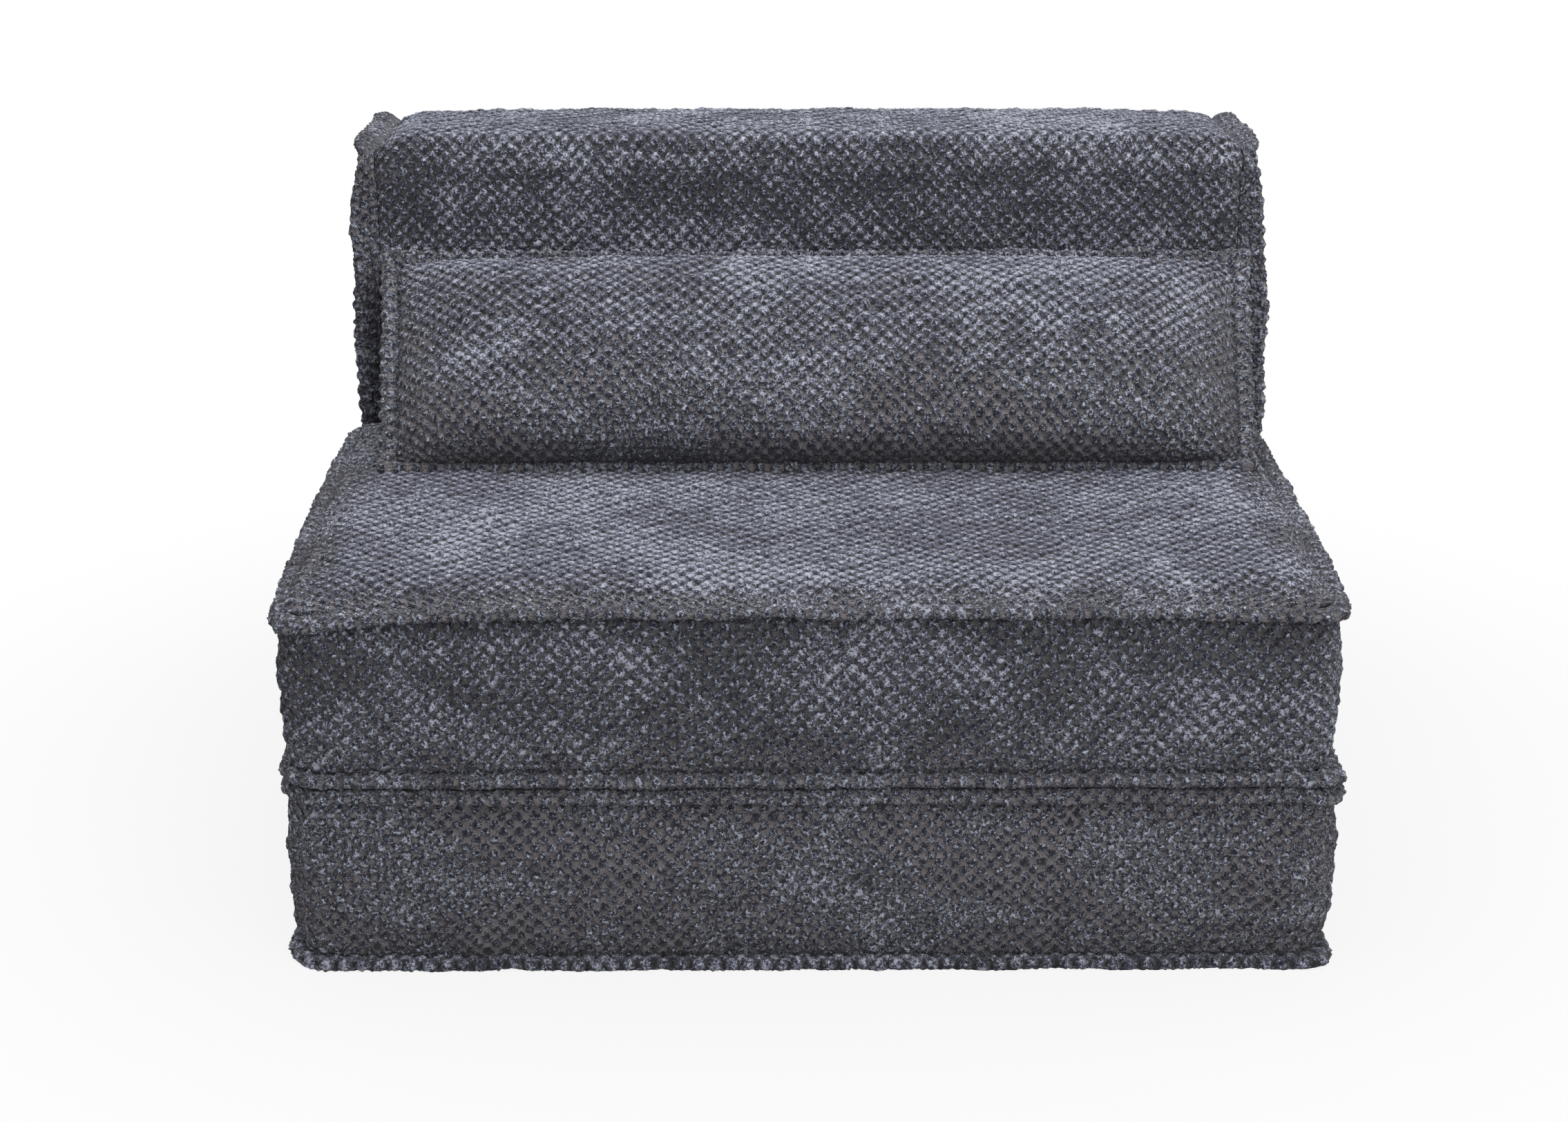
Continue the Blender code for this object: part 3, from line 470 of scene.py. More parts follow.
def puffed(grid, most, around=False):
    """A panel of cloth, blown up a little by its filling in a cloth simulation, and never sunk."""
    rows, columns = grid.shape[:2]
    quads = [
        (i * columns + j, i * columns + (j + 1) % columns,
         (i + 1) * columns + (j + 1) % columns, (i + 1) * columns + j)
        for i in range(rows - 1) for j in range(columns if around else columns - 1)
    ]
    mesh = bpy.data.meshes.new("panel_on_its_filling")
    mesh.from_pydata(grid.reshape(-1, 3).tolist(), [], quads)
    panel = bpy.data.objects.new("panel_on_its_filling", mesh)
    bpy.context.collection.objects.link(panel)
    sewn = np.zeros((rows, columns), bool)
    sewn[[0, -1]] = True
    if not around:
        sewn[:, [0, -1]] = True
    seam = panel.vertex_groups.new(name="seam")
    seam.add([int(k) for k in np.flatnonzero(sewn)], 1.0, "REPLACE")
    cloth = panel.modifiers.new("filled", "CLOTH")
    settings = cloth.settings
    settings.quality = 6
    settings.mass = FILLED_MASS
    settings.bending_stiffness = FILLED_STIFFNESS
    settings.shrink_min = -FILLED_SLACK
    settings.use_pressure = True
    settings.uniform_pressure_force = FILLED_PRESSURE
    settings.effector_weights.gravity = 0
    settings.vertex_group_mass = "seam"
    cloth.collision_settings.use_collision = False
    cloth.point_cache.frame_start, cloth.point_cache.frame_end = 1, FILLED_FRAMES
    for instant in range(1, FILLED_FRAMES + 1):
        bpy.context.scene.frame_set(instant)
    blown = panel.evaluated_get(bpy.context.evaluated_depsgraph_get()).to_mesh()
    places = np.empty(rows * columns * 3, np.float32)
    blown.vertices.foreach_get("co", places)
    bpy.data.objects.remove(panel)
    bpy.data.meshes.remove(mesh)
    bpy.context.scene.frame_set(1)
    moved = places.reshape(grid.shape).astype(float) - grid
    normal = outward(grid, around)
    inward = np.minimum((moved * normal).sum(axis=-1, keepdims=True), 0)
    moved = moved - inward * normal
    size = np.maximum(np.linalg.norm(moved, axis=-1, keepdims=True), 1e-9)
    return grid + moved / size * most * np.tanh(size / most)


def part_for_zip(grid, smooth, normal, tape, behind):
    """Fold the cloth in round a zip's tape, so that it lies in a slot."""
    low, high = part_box(tape)
    past_x = np.abs(smooth[..., 0] - (low[0] + high[0]) / 2) - (high[0] - low[0]) / 2 - ZIP_END
    past_z = np.abs(smooth[..., 2] - (low[2] + high[2]) / 2) - (high[2] - low[2]) / 2
    flat = np.clip(1 - (np.maximum(past_x, past_z) + ZIP_COVER) / ZIP_FOLD, 0, 1)
    flat = flat**2 * (3 - 2 * flat) * (normal[..., 1] > 0.6)
    grid[..., 1] += (np.minimum(grid[..., 1], behind) - grid[..., 1]) * flat


def sew(name, control, body, replaced, seed, across_step=6, along_step=6, rise=TUFT_RISE,
        around=False, tube=False, sunk=0.0, openness=0.75, parted_and_shaded_reach=0.0, fray=PILE_FRAY, strips=1,
        parted=None, lowest=None, fill=None, finish=pile, slot="tufted_chenille"):
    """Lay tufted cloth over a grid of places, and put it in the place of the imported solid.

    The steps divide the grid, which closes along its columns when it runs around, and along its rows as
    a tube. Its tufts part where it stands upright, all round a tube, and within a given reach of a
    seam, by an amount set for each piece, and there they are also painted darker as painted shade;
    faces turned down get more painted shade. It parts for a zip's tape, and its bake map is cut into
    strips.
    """
    low_rows, low_columns = control.shape[:2]
    rows = low_rows * along_step if tube else (low_rows - 1) * along_step + 1
    columns = low_columns * across_step if around else (low_columns - 1) * across_step + 1
    smooth = finer(control, rows, tube)
    smooth = np.swapaxes(finer(np.swapaxes(smooth, 0, 1), columns, around), 0, 1)
    normal = outward(smooth, around, tube)
    along_at, across_at = laid_lengths(smooth, 0, tube), laid_lengths(smooth, 1, around)
    pitch = across_at[-1] / round(across_at[-1] / TUFT_PITCH)
    row_pitch = along_at[-1] / (2 * max(round(along_at[-1] / TUFT_ROW / 2), 1))
    y, x = np.meshgrid(along_at, across_at, indexing="ij")
    wave_x = TUFT_WANDER * wander(x, y, seed)
    wave_y = 2 * TUFT_WANDER * wander(y, x, seed + 5)
    if around:
        blend = np.clip((across_at[-1] - across_at) / SEAM_BLEND, 0, 1)
        wave_x = wave_x * blend + wave_x[:, :1] * (1 - blend)
        wave_y = wave_y * blend + wave_y[:, :1] * (1 - blend)
    if tube:
        wave_x, wave_y = wave_x[:1] + 0 * y, 0 * y
    p, q = x / pitch + wave_x, y / row_pitch + wave_y
    up = normal[:, :, 2]
    # Standing upright parts the tufts, and the same value paints them darker: painted shade
    parted_and_shaded = np.clip((1 - np.maximum(up, 0) ** 2) / PARTED_SLOPE, 0, 1)
    if parted_and_shaded_reach:
        from_seam = np.minimum(np.minimum(y, y[-1:] - y), np.minimum(x, x[:, -1:] - x))
        near_seam = PARTED_AND_SHADED_AT_SEAM - PARTED_AND_SHADED_AT_SEAM * from_seam / parted_and_shaded_reach
        parted_and_shaded = np.maximum(parted_and_shaded, np.clip(near_seam, 0, 1))
    # Painted shade: a lip's tufts always part and are painted darker, however it faces
    if tube:
        parted_and_shaded = np.maximum(parted_and_shaded, PARTED_AND_SHADED_ON_LIPS)
    else:
        parted_and_shaded = parted_and_shaded + PAINTED_SHADE_BENEATH * np.clip(-up, 0, 0.5)
    parted_and_shaded = openness * parted_and_shaded
    full = np.pad(parted_and_shaded, ((0, int(tube)), (0, int(around))), mode="wrap")
    weave_at = np.stack([p, q, full], axis=-1)
    height = tuft_height(p[:rows, :columns], q[:rows, :columns], np.minimum(parted_and_shaded, 1))
    if tube:
        tip = np.cos(2 * math.pi * np.arange(rows) / rows)
        fade = np.clip((tip + 1) / 0.7, 0.1, 1)[:, None]
    else:
        edge = np.minimum(along_at, along_at[-1] - along_at)
        fade = np.clip(edge / EDGE_FADE, EDGE_LEAST, 1)[:, None]
    if not around:
        edge = np.minimum(across_at, across_at[-1] - across_at)
        fade = fade * np.clip(edge / EDGE_FADE, EDGE_LEAST, 1)
    ends = np.random.default_rng(seed).normal(0, fray, height.shape) if rise else 0 * height
    outer = smooth + normal * ((height * rise + ends - sunk) * fade)[:, :, None]
    if lowest is not None:
        outer[..., 2] = np.maximum(outer[..., 2], lowest)
    inner = None
    if not tube:
        under = slice(None, None, along_step), slice(None, None, across_step)
        inner = (smooth - normal * CLOTH_THICKNESS)[under]
    if parted:
        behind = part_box(parted)[0][1] - ZIP_CLEARANCE
        part_for_zip(outer, smooth, normal, parted, behind)
        part_for_zip(inner, smooth[under], normal[under], parted, behind - ZIP_FOLD_THICKNESS)
    made = cloth_object(name, outer, weave_at, inner, around, tube, strips)
    made.data.materials.append(finish)
    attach(made, body)
    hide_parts(replaced)


def evenly(line, spacing, closed=False):
    """Places with outward angles in degrees, walked at even steps, as places and directions."""
    places = np.array([place for place, _ in line])
    turns = np.array([turn for _, turn in line], float)
    lengths = np.concatenate([[0], np.cumsum(np.linalg.norm(np.diff(places, axis=0), axis=1))])
    count = round(lengths[-1] / spacing) + (0 if closed else 1)
    at = np.linspace(0, lengths[-1], count, endpoint=not closed)
    x, y, turn = (np.interp(at, lengths, v) for v in (places[:, 0], places[:, 1], turns))
    out = np.stack([np.cos(np.radians(turn)), np.sin(np.radians(turn))], axis=-1)
    return np.stack([x, y], axis=-1), out


def quarter(x, y, r, start, end):
    """Places on a quarter round about a point, each with its outward angle in degrees."""
    return [((x + r * math.cos(math.radians(turn)), y + r * math.sin(math.radians(turn))), turn)
            for turn in np.linspace(start, end, 9)]


def plan_outline(half_width, front_y, rear_y):
    """The block's plan as places and outward directions, from the rear's middle anticlockwise."""
    r = CORNER_RADIUS
    left, right, front, rear = r - half_width, half_width - r, front_y + r, rear_y - r
    corners = ((left, rear, 90), (left, front, 180), (right, front, 270), (right, rear, 360))
    line = [((0.0, rear_y), 90)]
    for x, y, start in corners:
        line += quarter(x, y, r, start, start + 90)
    line.append(((0.0, rear_y), 450))
    return evenly(line, BAND_SPACING, closed=True)


def boxing_grid(panel, low, high, bulge, seed, dropped=None, right_bulge=0.0):
    """The band of cloth round a block: pinched at both seams, full between them."""
    (x0, y0, _), (x1, y1, _) = panel
    place, out = plan_outline((x1 - x0) / 2, y0, y1)
    place = place + [(x0 + x1) / 2, 0]
    share = np.linspace(0, 1, BAND_ROWS)[:, None]
    x, y = place[:, 0], place[:, 1]
    run = np.arange(len(place)) * BAND_SPACING
    drop = dropped(x, y) if dropped else 0 * x
    z = low + (high - low) * share - drop * share**2
    full = np.clip(1 - np.abs(2 * share - 1) ** 2.4, 0, 1) ** 0.75
    rear = 1 - 0.55 * np.maximum(out[:, 1], 0)
    swell = bulge * full * rear * (1 + 0.16 * wander(run, 3 * share, seed))
    swell = swell * (1 + right_bulge * np.maximum(out[:, 0], 0))
    ripple = BAND_RIPPLE * full * wander(3 * run, 9 * share, seed + 2)
    swell = swell - SEAM_PINCH * (1 - full) + ripple
    at = place + out * swell[..., None]
    return np.concatenate([at, np.broadcast_to(z[..., None], at.shape[:2] + (1,))], axis=-1)


base_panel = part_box("base_top_panel")
base_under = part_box("base_bottom_panel")
base_band = boxing_grid(base_panel, base_under[1][2], base_panel[0][2], BASE_BULGE, 3,
                        right_bulge=BASE_RIGHT_BULGE)
# Painted shade: the base's band is parted and painted darker in full, darker than the seat's band
sew("base_boxing_cover", puffed(base_band, BOXING_PUFF, around=True), "base", "base_boxing", 3,
    across_step=5, along_step=7, around=True, strips=4, openness=1.0, parted="base_zip_tape",
    fill=0.95)


# Base cover, top and bottom. The top is the same chenille, because it is half of the bed when the
# seat is flipped. The bottom is a slip-proof nonwoven that nobody sees.
PANEL_SPACING = 0.015
LINING_DARK = "26262A"
LINING_LIGHT = "3C3C41"
LINING_DIMPLE = 0.0025
LINING_RELIEF = 0.0003
PRESSED_PILE = TUFT_RISE * 1.15


def panel_grid(panel, height, facing_up=True):
    """A flat grid over a panel's rounded rectangle."""
    (x0, y0, _), (x1, y1, _) = panel
    columns = round((x1 - x0) / PANEL_SPACING) + 1
    rows = round((y1 - y0) / PANEL_SPACING) + 1
    y = np.linspace(y0, y1, rows)[:, None]
    r = CORNER_RADIUS
    near_end = np.clip(np.maximum(y0 + r - y, y - y1 + r), 0, r)
    half = (x1 - x0) / 2 - r + np.sqrt(r**2 - near_end**2)
    x = (x0 + x1) / 2 + half * np.linspace(-1, 1, columns)[None, :]
    if not facing_up:
        x = x[:, ::-1]
    y = np.broadcast_to(y, x.shape)
    return np.stack([x, y, height + 0 * x], axis=-1)


sew("base_top_cover", panel_grid(base_panel, base_panel[1][2]), "base", "base_top_panel", 5,
    across_step=4, along_step=4, sunk=PRESSED_PILE, openness=0.3)

# Spun-bonded nonwoven: dull and black, with a fine grid of weld dimples
lining, tree, shader, place = new_finish("nonwoven_lining", 0.85)
dimples = add(tree, "TexVoronoi", {"Vector": place, "Scale": 1 / LINING_DIMPLE, "Randomness": 0.15})
dimple = add(tree, "MapRange", {0: dimples, 1: 0.15, 2: 0.35})
patterned(tree, shader, dimple, LINING_DARK, LINING_LIGHT, LINING_RELIEF)


def line_underside(cover, seed):
    """Close the bottom of a cover with a flat panel of lining."""
    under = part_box(cover + "_bottom_panel")
    sew(cover + "_bottom_lining", panel_grid(under, under[0][2], facing_up=False), "base",
        cover + "_bottom_panel", seed, across_step=1, along_step=1, rise=0.0, finish=lining,
        slot="woven_lining")


line_underside("base", 6)


# Base cover, seam flanges. Where panel and band meet, both raw edges are turned out and topstitched
# into a soft lip about 18 mm wide, which waves a little and hangs down under its own weight.
LIP_WIDTH = 0.0152
LIP_THICKNESS = 0.0092
LIP_AROUND = 9
LIP_WAVE = 0.0020
LIP_EASE = 0.1
LIP_FOLLOWS_DROP = 0.6
LIP_FRAY = 0.0007
LIP_RISE = 0.0034
BASE_TOP_LIP_DROOP = 0.0068
BASE_LOW_LIP_DROOP = 0.0008


def lip_grid(root, out, lift, width, thickness, droop, seed, closed=True):
    """A soft double edge along a seam: rows go round its section, columns along the seam."""
    run = laid_lengths(root[None], 1, closed)[:len(root), None]
    turn = np.linspace(0, 2 * math.pi, LIP_AROUND * 2, endpoint=False)[None, :]
    c, s = np.cos(turn), np.sin(turn)
    reach = 0.5 + 0.5 * np.sign(c) * np.abs(c) ** 0.75
    side = np.sign(s) * np.abs(s) ** 0.8 * (0.40 + 0.66 * reach)
    wide = width * (1 + 0.07 * wander(2 * run, 0, seed + 1))
    sway = LIP_WAVE * wander(1.6 * run, 0, seed) + 0.5 * LIP_WAVE * wander(5 * run, 0, seed + 3)
    if closed:
        ease = np.clip(np.minimum(run, run[-1] - run) / LIP_EASE, 0, 1)
        sway = sway * ease
        wide = width + (wide - width) * ease
    fall = (sway - droop) * reach**1.5
    grid = root[:, None] + out[:, None] * (wide * reach)[..., None]
    grid = grid + lift[:, None] * (side * thickness / 2 + fall)[..., None]
    return np.swapaxes(grid, 0, 1)


def sew_lip(name, grid, body, replaced, seed, **more):
    """Lay lower and looser tufts over a lip."""
    sew(name, grid, body, replaced, seed, along_step=2, rise=LIP_RISE, tube=True, fray=LIP_FRAY,
        fill=0.8, **more)


def block_lip(name, panel, z, droop, body, replaced, seed, ear=0.6, left_ear=0.0,
              dropped=None, thickness=LIP_THICKNESS, openness=0.85, lowest=None):
    """The lip all round one seam of a block, with the spare cloth of its corners as soft ears."""
    (x0, y0, _), (x1, y1, _) = panel
    place, out = plan_outline((x1 - x0) / 2, y0, y1)
    drop = dropped(place[:, 0], place[:, 1]) if dropped else 0 * place[:, 0]
    root = np.concatenate([place, (z - drop)[:, None]], axis=-1)
    spare = 4 * (out[:, :1] * out[:, 1:]) ** 2 * np.where(out[:, :1] > 0, ear, left_ear)
    out = np.concatenate([out * (1 + spare), 0 * out[:, :1]], axis=-1)
    lift = np.zeros_like(out)
    lift[:, 2] = 1
    droop = droop + LIP_FOLLOWS_DROP * drop[:, None]
    grid = lip_grid(root, out, lift, LIP_WIDTH, thickness, droop, seed)
    sew_lip(name, grid, body, replaced, seed, across_step=5, around=True, openness=openness,
            strips=8, lowest=lowest)


base_lip_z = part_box("base_top_flange")[1][2] - LIP_THICKNESS / 2 - LIP_RISE / 3
# Painted shade: the base's top lip, in the slot under the seat, is parted and painted darker in full
block_lip("base_top_lip", base_panel, base_lip_z, BASE_TOP_LIP_DROOP, "base", "base_top_flange",
          11, ear=0.9, left_ear=-0.3, openness=1.0)
block_lip("base_bottom_lip", base_panel, LIP_THICKNESS / 2 + LIP_RISE / 2, BASE_LOW_LIP_DROOP,
          "base", "base_bottom_flange", 12, openness=0.5, lowest=0.0)


# Seat cover. The upper block's band, its top, rounded down to the seams over a wadding pad, its
# flat bottom, which is the other half of the bed, and its two seam lips.
SEAT_BULGE = 0.0080
SEAT_DROP = 0.006
SEAT_DROP_LEFT = 0.013
SEAT_LIP_THICKNESS = 0.0068
SEAT_DROP_REACH = 0.075
SEAT_EDGE_SINK = -0.001
SEAT_SHOULDER = 0.055
SEAT_FRONT_SHOULDER = 0.080
SEAT_OVERHANG = 0.010
SEAT_TOP_SINK = 0.0050
SEAT_RIPPLE = 0.0012
SEAT_LIP_DROOP = 0.001
SEAT_PARTED_AND_SHADED_REACH = 0.05
SEAT_PUFF = 0.004

seat_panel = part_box("seat_top_panel")
seat_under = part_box("seat_bottom_panel")
seat_seam_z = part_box("seat_boxing")[1][2]


def seat_drop(x, y):
    """How far the top seam hangs at its corners, most of all at the front left."""
    (x0, y0, _), (x1, y1, _) = seat_panel
    drop = SEAT_DROP_LEFT * np.exp(-(x - x0 + y - y0) / SEAT_DROP_REACH)
    drop = drop + SEAT_DROP * np.exp(-(x1 - x + y - y0) / SEAT_DROP_REACH)
    return drop + SEAT_DROP * np.exp(-(np.minimum(x - x0, x1 - x) + y1 - y) / SEAT_DROP_REACH)


seat_band = boxing_grid(seat_panel, seat_under[1][2], seat_seam_z, SEAT_BULGE, 8, seat_drop)
sew("seat_boxing_cover", puffed(seat_band, BOXING_PUFF, around=True), "seat_block", "seat_boxing",
    8, across_step=5, along_step=7, around=True, strips=4, openness=0.70, parted="seat_zip_tape",
    fill=0.95)


def shoulder(inside, width):
    """A quarter round from 0 at an edge to 1 at its width inside the edge."""
    return np.sqrt(1 - (1 - np.clip(inside / width, 0, 1)) ** 2)


def seat_top_grid():
    """The seat's top: rounded down to its seams, and hanging over the one on the left."""
    (x0, y0, _), (x1, y1, top) = seat_panel
    grid = panel_grid(seat_panel, top)
    x, y = grid[..., 0], grid[..., 1]
    full = shoulder(x - x0, SEAT_SHOULDER) * shoulder(x1 - x, SEAT_SHOULDER)
    full = full * shoulder(y - y0, SEAT_FRONT_SHOULDER) * shoulder(y1 - y, SEAT_SHOULDER)
    edge = seat_seam_z - SEAT_EDGE_SINK - seat_drop(x, y)
    grid[..., 2] = edge + (top - SEAT_TOP_SINK - edge) * full
    grid[..., 2] += SEAT_RIPPLE * wander(2 * x, 2 * y, 4) * full
    near_left = np.clip((x - x0) / SEAT_SHOULDER, 0, 1)
    grid[..., 0] -= SEAT_OVERHANG * np.sin(math.pi * near_left**0.5) * (1 - near_left)
    return grid


# Painted shade: near its seams the top's tufts part and are painted darker, where it rolls down
sew("seat_top_cover", puffed(seat_top_grid(), SEAT_PUFF), "seat_block", "seat_top_panel", 9,
    openness=0.9, parted_and_shaded_reach=SEAT_PARTED_AND_SHADED_REACH, fill=0.85)
sew("seat_bottom_cover", panel_grid(seat_under, seat_under[0][2], facing_up=False), "seat_block",
    "seat_bottom_panel", 10, across_step=4, along_step=4, sunk=PRESSED_PILE, openness=0.3)
block_lip("seat_top_lip", seat_panel, seat_seam_z - SEAT_EDGE_SINK, SEAT_LIP_DROOP, "seat_block",
          "seat_top_flange", 13, ear=0.3, left_ear=0.2, dropped=seat_drop,
          thickness=SEAT_LIP_THICKNESS)
seat_low_lip_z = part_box("seat_bottom_flange")[0][2] + LIP_THICKNESS / 2 - LIP_RISE / 3
block_lip("seat_bottom_lip", seat_panel, seat_low_lip_z, 0.0, "seat_block", "seat_bottom_flange",
          14, ear=0.9)


# Hinge strip. A folded strip of twill tape, sewn into both front seams, which turns the seat over
# like a book.
TAPE_DARK = "2A2A30"
TAPE_LIGHT = "4A4A52"
TWILL = 0.0016
TWILL_COARSENESS = 6
TWILL_RELIEF = 0.0003
HINGE_RECESS = 0.006
HINGE_HOLLOW = 0.6

# Polyester twill tape: dull charcoal with fine slanting ribs, drawn coarse enough to show
twill, tree, shader, place = new_finish("polyester_twill_tape", 0.8, sheen=0.1)
ribs = add(tree, "TexWave", {"Vector": place, "Scale": 1 / TWILL / TWILL_COARSENESS,
                               "Distortion": 0.4}, bands_direction="DIAGONAL")
patterned(tree, shader, ribs, TAPE_DARK, TAPE_LIGHT, TWILL_RELIEF)

strip_low, strip_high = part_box("hinge_strip")
strip_z = (strip_low[2] + strip_high[2]) / 2


def hinge_strip_grid():
    """The folded strip: two layers that meet in a soft bend at the front."""
    half = (strip_high[2] - strip_low[2]) / 2
    rear, front = strip_high[1], strip_low[1] + HINGE_RECESS
    bend = [(front - half * math.sin(t) + half, half * math.cos(t))
            for t in np.linspace(0, math.pi, 9)]
    section = ([(rear, half)] + bend + [(rear, -half)])[::-1]
    middle = (strip_low[0] + strip_high[0]) / 2
    length = middle + np.linspace(-1, 1, 25) * (strip_high[0] - strip_low[0]) / 2
    return np.array([[(x, y, strip_z + z) for x in length] for y, z in section])


strip = hinge_strip_grid()
inside = strip * (1, 1, HINGE_HOLLOW) + (0, 0, (1 - HINGE_HOLLOW) * strip_z)
hinge_tape = cloth_object("hinge_strip_tape", strip, np.zeros_like(strip), inside)
hinge_tape.data.materials.append(twill)
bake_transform(hinge_tape)
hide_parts("hinge_strip")


# Backrest cover. One long piece runs up the front, over the top and down the rear, round foam and
# wadding. Flat side panels close the ends, again with their seams turned out as lips.
BACK_RADIUS = 0.030
BACK_FRONT_RADIUS = 0.014
BACK_FRONT_CROWN = 0.010
BACK_TOP_CROWN = 0.004
BACK_TOP_RISE = 0.029
BACK_TOP_FALL = 0.80
BACK_END_SLUMP = 0.5
BACK_SLUMP_REACH = 0.04
BACK_RISE_FOOT = 0.560
BACK_REAR_CROWN = 0.003
BACK_SPACING = 0.012
BACK_PUFF = 0.003
BACK_LIP_WIDTH = 0.0215
BACK_LIP_FLARE = 0.003
BACK_FLARE_TOP = 0.60
BACK_FLARE_REACH = 0.12
BACK_FLARE_SHARE = 0.50
BACK_CORNER_TUCK = 1.0
BACK_TUCK_REACH = 0.035
BACK_LEFT_FLARE = 0.3
BACK_FORWARD_TOP = 0.60
BACK_FORWARD_REACH = 0.10
BACK_FORWARD_LEFT, BACK_FORWARD_RIGHT = 0.8, 0.4
BACK_SEAM_PINCH = 0.0035
BACK_SEAM_REACH = 0.012
BACK_RIPPLE = 0.0010
BACK_RIDGE = 0.0065
BACK_RIDGE_Z = 0.6475
BACK_RIDGE_WIDTH = 0.006
BACK_SIDE_SWELL = 0.006
BACK_SIDE_PROUD = 0.003
BACK_LIP_SUNK = 0.001

(_, back_front, back_low), (_, back_rear, back_high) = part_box("backrest_left_panel")
wrap_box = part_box("backrest_wrap_panel")
back_middle = (wrap_box[0][0] + wrap_box[1][0]) / 2
back_half = (wrap_box[1][0] - wrap_box[0][0]) / 2


def back_profile():
    """The backrest's side outline as Y and Z places with outward directions, front foot first."""
    front, rear = back_front + BACK_FRONT_RADIUS, back_rear - BACK_RADIUS
    line = [((back_front, back_low), 180)]
    line += quarter(front, back_high - BACK_FRONT_RADIUS, BACK_FRONT_RADIUS, 180, 90)
    line += quarter(rear, back_high - BACK_RADIUS, BACK_RADIUS, 90, 0)
    line.append(((back_rear, back_low), 0))
    return evenly(line, BACK_SPACING)


def raised(x, y, z):
    """Heights on the backrest with its top plumped up, most of all along the front edge."""
    share = np.clip((z - BACK_RISE_FOOT) / (back_high - BACK_FRONT_RADIUS - BACK_RISE_FOOT), 0, 1)
    depth = np.clip((y - back_front) / (back_rear - back_front), 0, 1)
    end = np.clip(1 - (back_half - np.abs(x - back_middle)) / BACK_SLUMP_REACH, 0, 1)
    rise = BACK_TOP_RISE * (1 - BACK_TOP_FALL * depth) * (1 - BACK_END_SLUMP * end**2)
    return z + rise * share**2 * (3 - 2 * share)


def back_wrap_grid():
    """The wrapped face, crowned over the wadding and drawn in at both side seams."""
    place, out = back_profile()
    columns = round(2 * back_half / BACK_SPACING) + 1
    across = np.linspace(-1, 1, columns)[None, :]
    y, z = place[:, :1], place[:, 1:]
    front, top, rear = (np.maximum(v, 0) for v in (-out[:, :1], out[:, 1:], out[:, :1]))
    height = np.clip((z - seat_seam_z) / (back_high - seat_seam_z), 0, 1)
    x = back_middle + back_half * across
    swell = BACK_FRONT_CROWN * front * np.sin(math.pi * height) ** 0.8
    swell = swell + BACK_TOP_CROWN * top + BACK_REAR_CROWN * rear
    swell = swell * (1 - np.abs(across) ** 5) * (1 + 0.10 * wander(x, y + z, 6))
    swell = swell + BACK_RIPPLE * wander(2 * x, 2 * (y + z), 7) * (1 - np.abs(across) ** 8)
    swell = swell - BACK_SEAM_PINCH * np.exp(-(1 - np.abs(across)) * back_half / BACK_SEAM_REACH)
    z = raised(x, y, z)
    swell = swell + BACK_RIDGE * front * np.exp(-((z - BACK_RIDGE_Z) / BACK_RIDGE_WIDTH) ** 2)
    return np.stack([x + 0 * y, y + out[:, :1] * swell, z + out[:, 1:] * swell], axis=-1)


sew("backrest_wrap_cover", puffed(back_wrap_grid(), BACK_PUFF), "base", "backrest_wrap_panel", 15,
    across_step=5, along_step=5, openness=0.66, parted="backrest_zip_tape", fill=0.9)


def back_side_grid(seam_x, sign):
    """One end of the backrest, a little swollen in its middle."""
    r = BACK_RADIUS
    z = np.linspace(back_low, back_high, 32)[:, None]
    into_corner = np.clip(z - back_high + r, 0, r)
    half = (back_rear - back_front) / 2 - r + np.sqrt(r**2 - into_corner**2)
    across = np.linspace(-sign, sign, 20)[None, :]
    y = (back_front + back_rear) / 2 + half * across
    height = (z - back_low) / (back_high - back_low)
    swell = BACK_SIDE_SWELL * (1 - np.abs(across) ** 3) * (1 - np.abs(2 * height - 1) ** 3)
    x = seam_x + sign * swell + 0 * y
    return np.stack([x, y, raised(x, y, z)], axis=-1)


for side, sign in (("left", -1), ("right", 1)):
    seam_x = back_middle + sign * (back_half + BACK_SIDE_PROUD)
    sew(f"backrest_{side}_cover", back_side_grid(seam_x, sign), "base", f"backrest_{side}_panel",
        16 + sign, across_step=5)
    place, out = back_profile()
    y, z = place[:, 0], place[:, 1]
    root = np.stack([seam_x - sign * BACK_LIP_SUNK + 0 * y, y, raised(seam_x, y, z)], axis=-1)
    flare, forward = BACK_LEFT_FLARE, BACK_FORWARD_LEFT
    if sign > 0:
        flare = np.clip((BACK_FLARE_TOP - z) / BACK_FLARE_REACH, 0, 1)
        forward = BACK_FORWARD_RIGHT
    from_corner = ((place - (back_front, back_high)) ** 2).sum(axis=1) / BACK_TUCK_REACH**2
    flare = flare - BACK_CORNER_TUCK * np.exp(-from_corner)
    low = np.clip((BACK_FORWARD_TOP - z) / BACK_FORWARD_REACH, 0, 1)
    forward = forward * low * np.maximum(-out[:, 0], 0)
    sideways = np.zeros_like(root)
    sideways[:, 0] = sign * (1 + BACK_FLARE_SHARE * flare * (y < back_rear - BACK_RADIUS))
    sideways[:, 1] = -forward
    lift = unit(np.stack([-sign * forward, out[:, 0], out[:, 1]], axis=-1))
    lip = lip_grid(root, sideways, lift, BACK_LIP_WIDTH, LIP_THICKNESS, -BACK_LIP_FLARE, 20 + sign,
                   closed=False)
    sew_lip(f"backrest_{side}_lip", lip[::-1] if sign < 0 else lip, "base",
            f"backrest_{side}_flange", 22 + sign, across_step=5, openness=0.85, strips=3)
line_underside("backrest", 18)


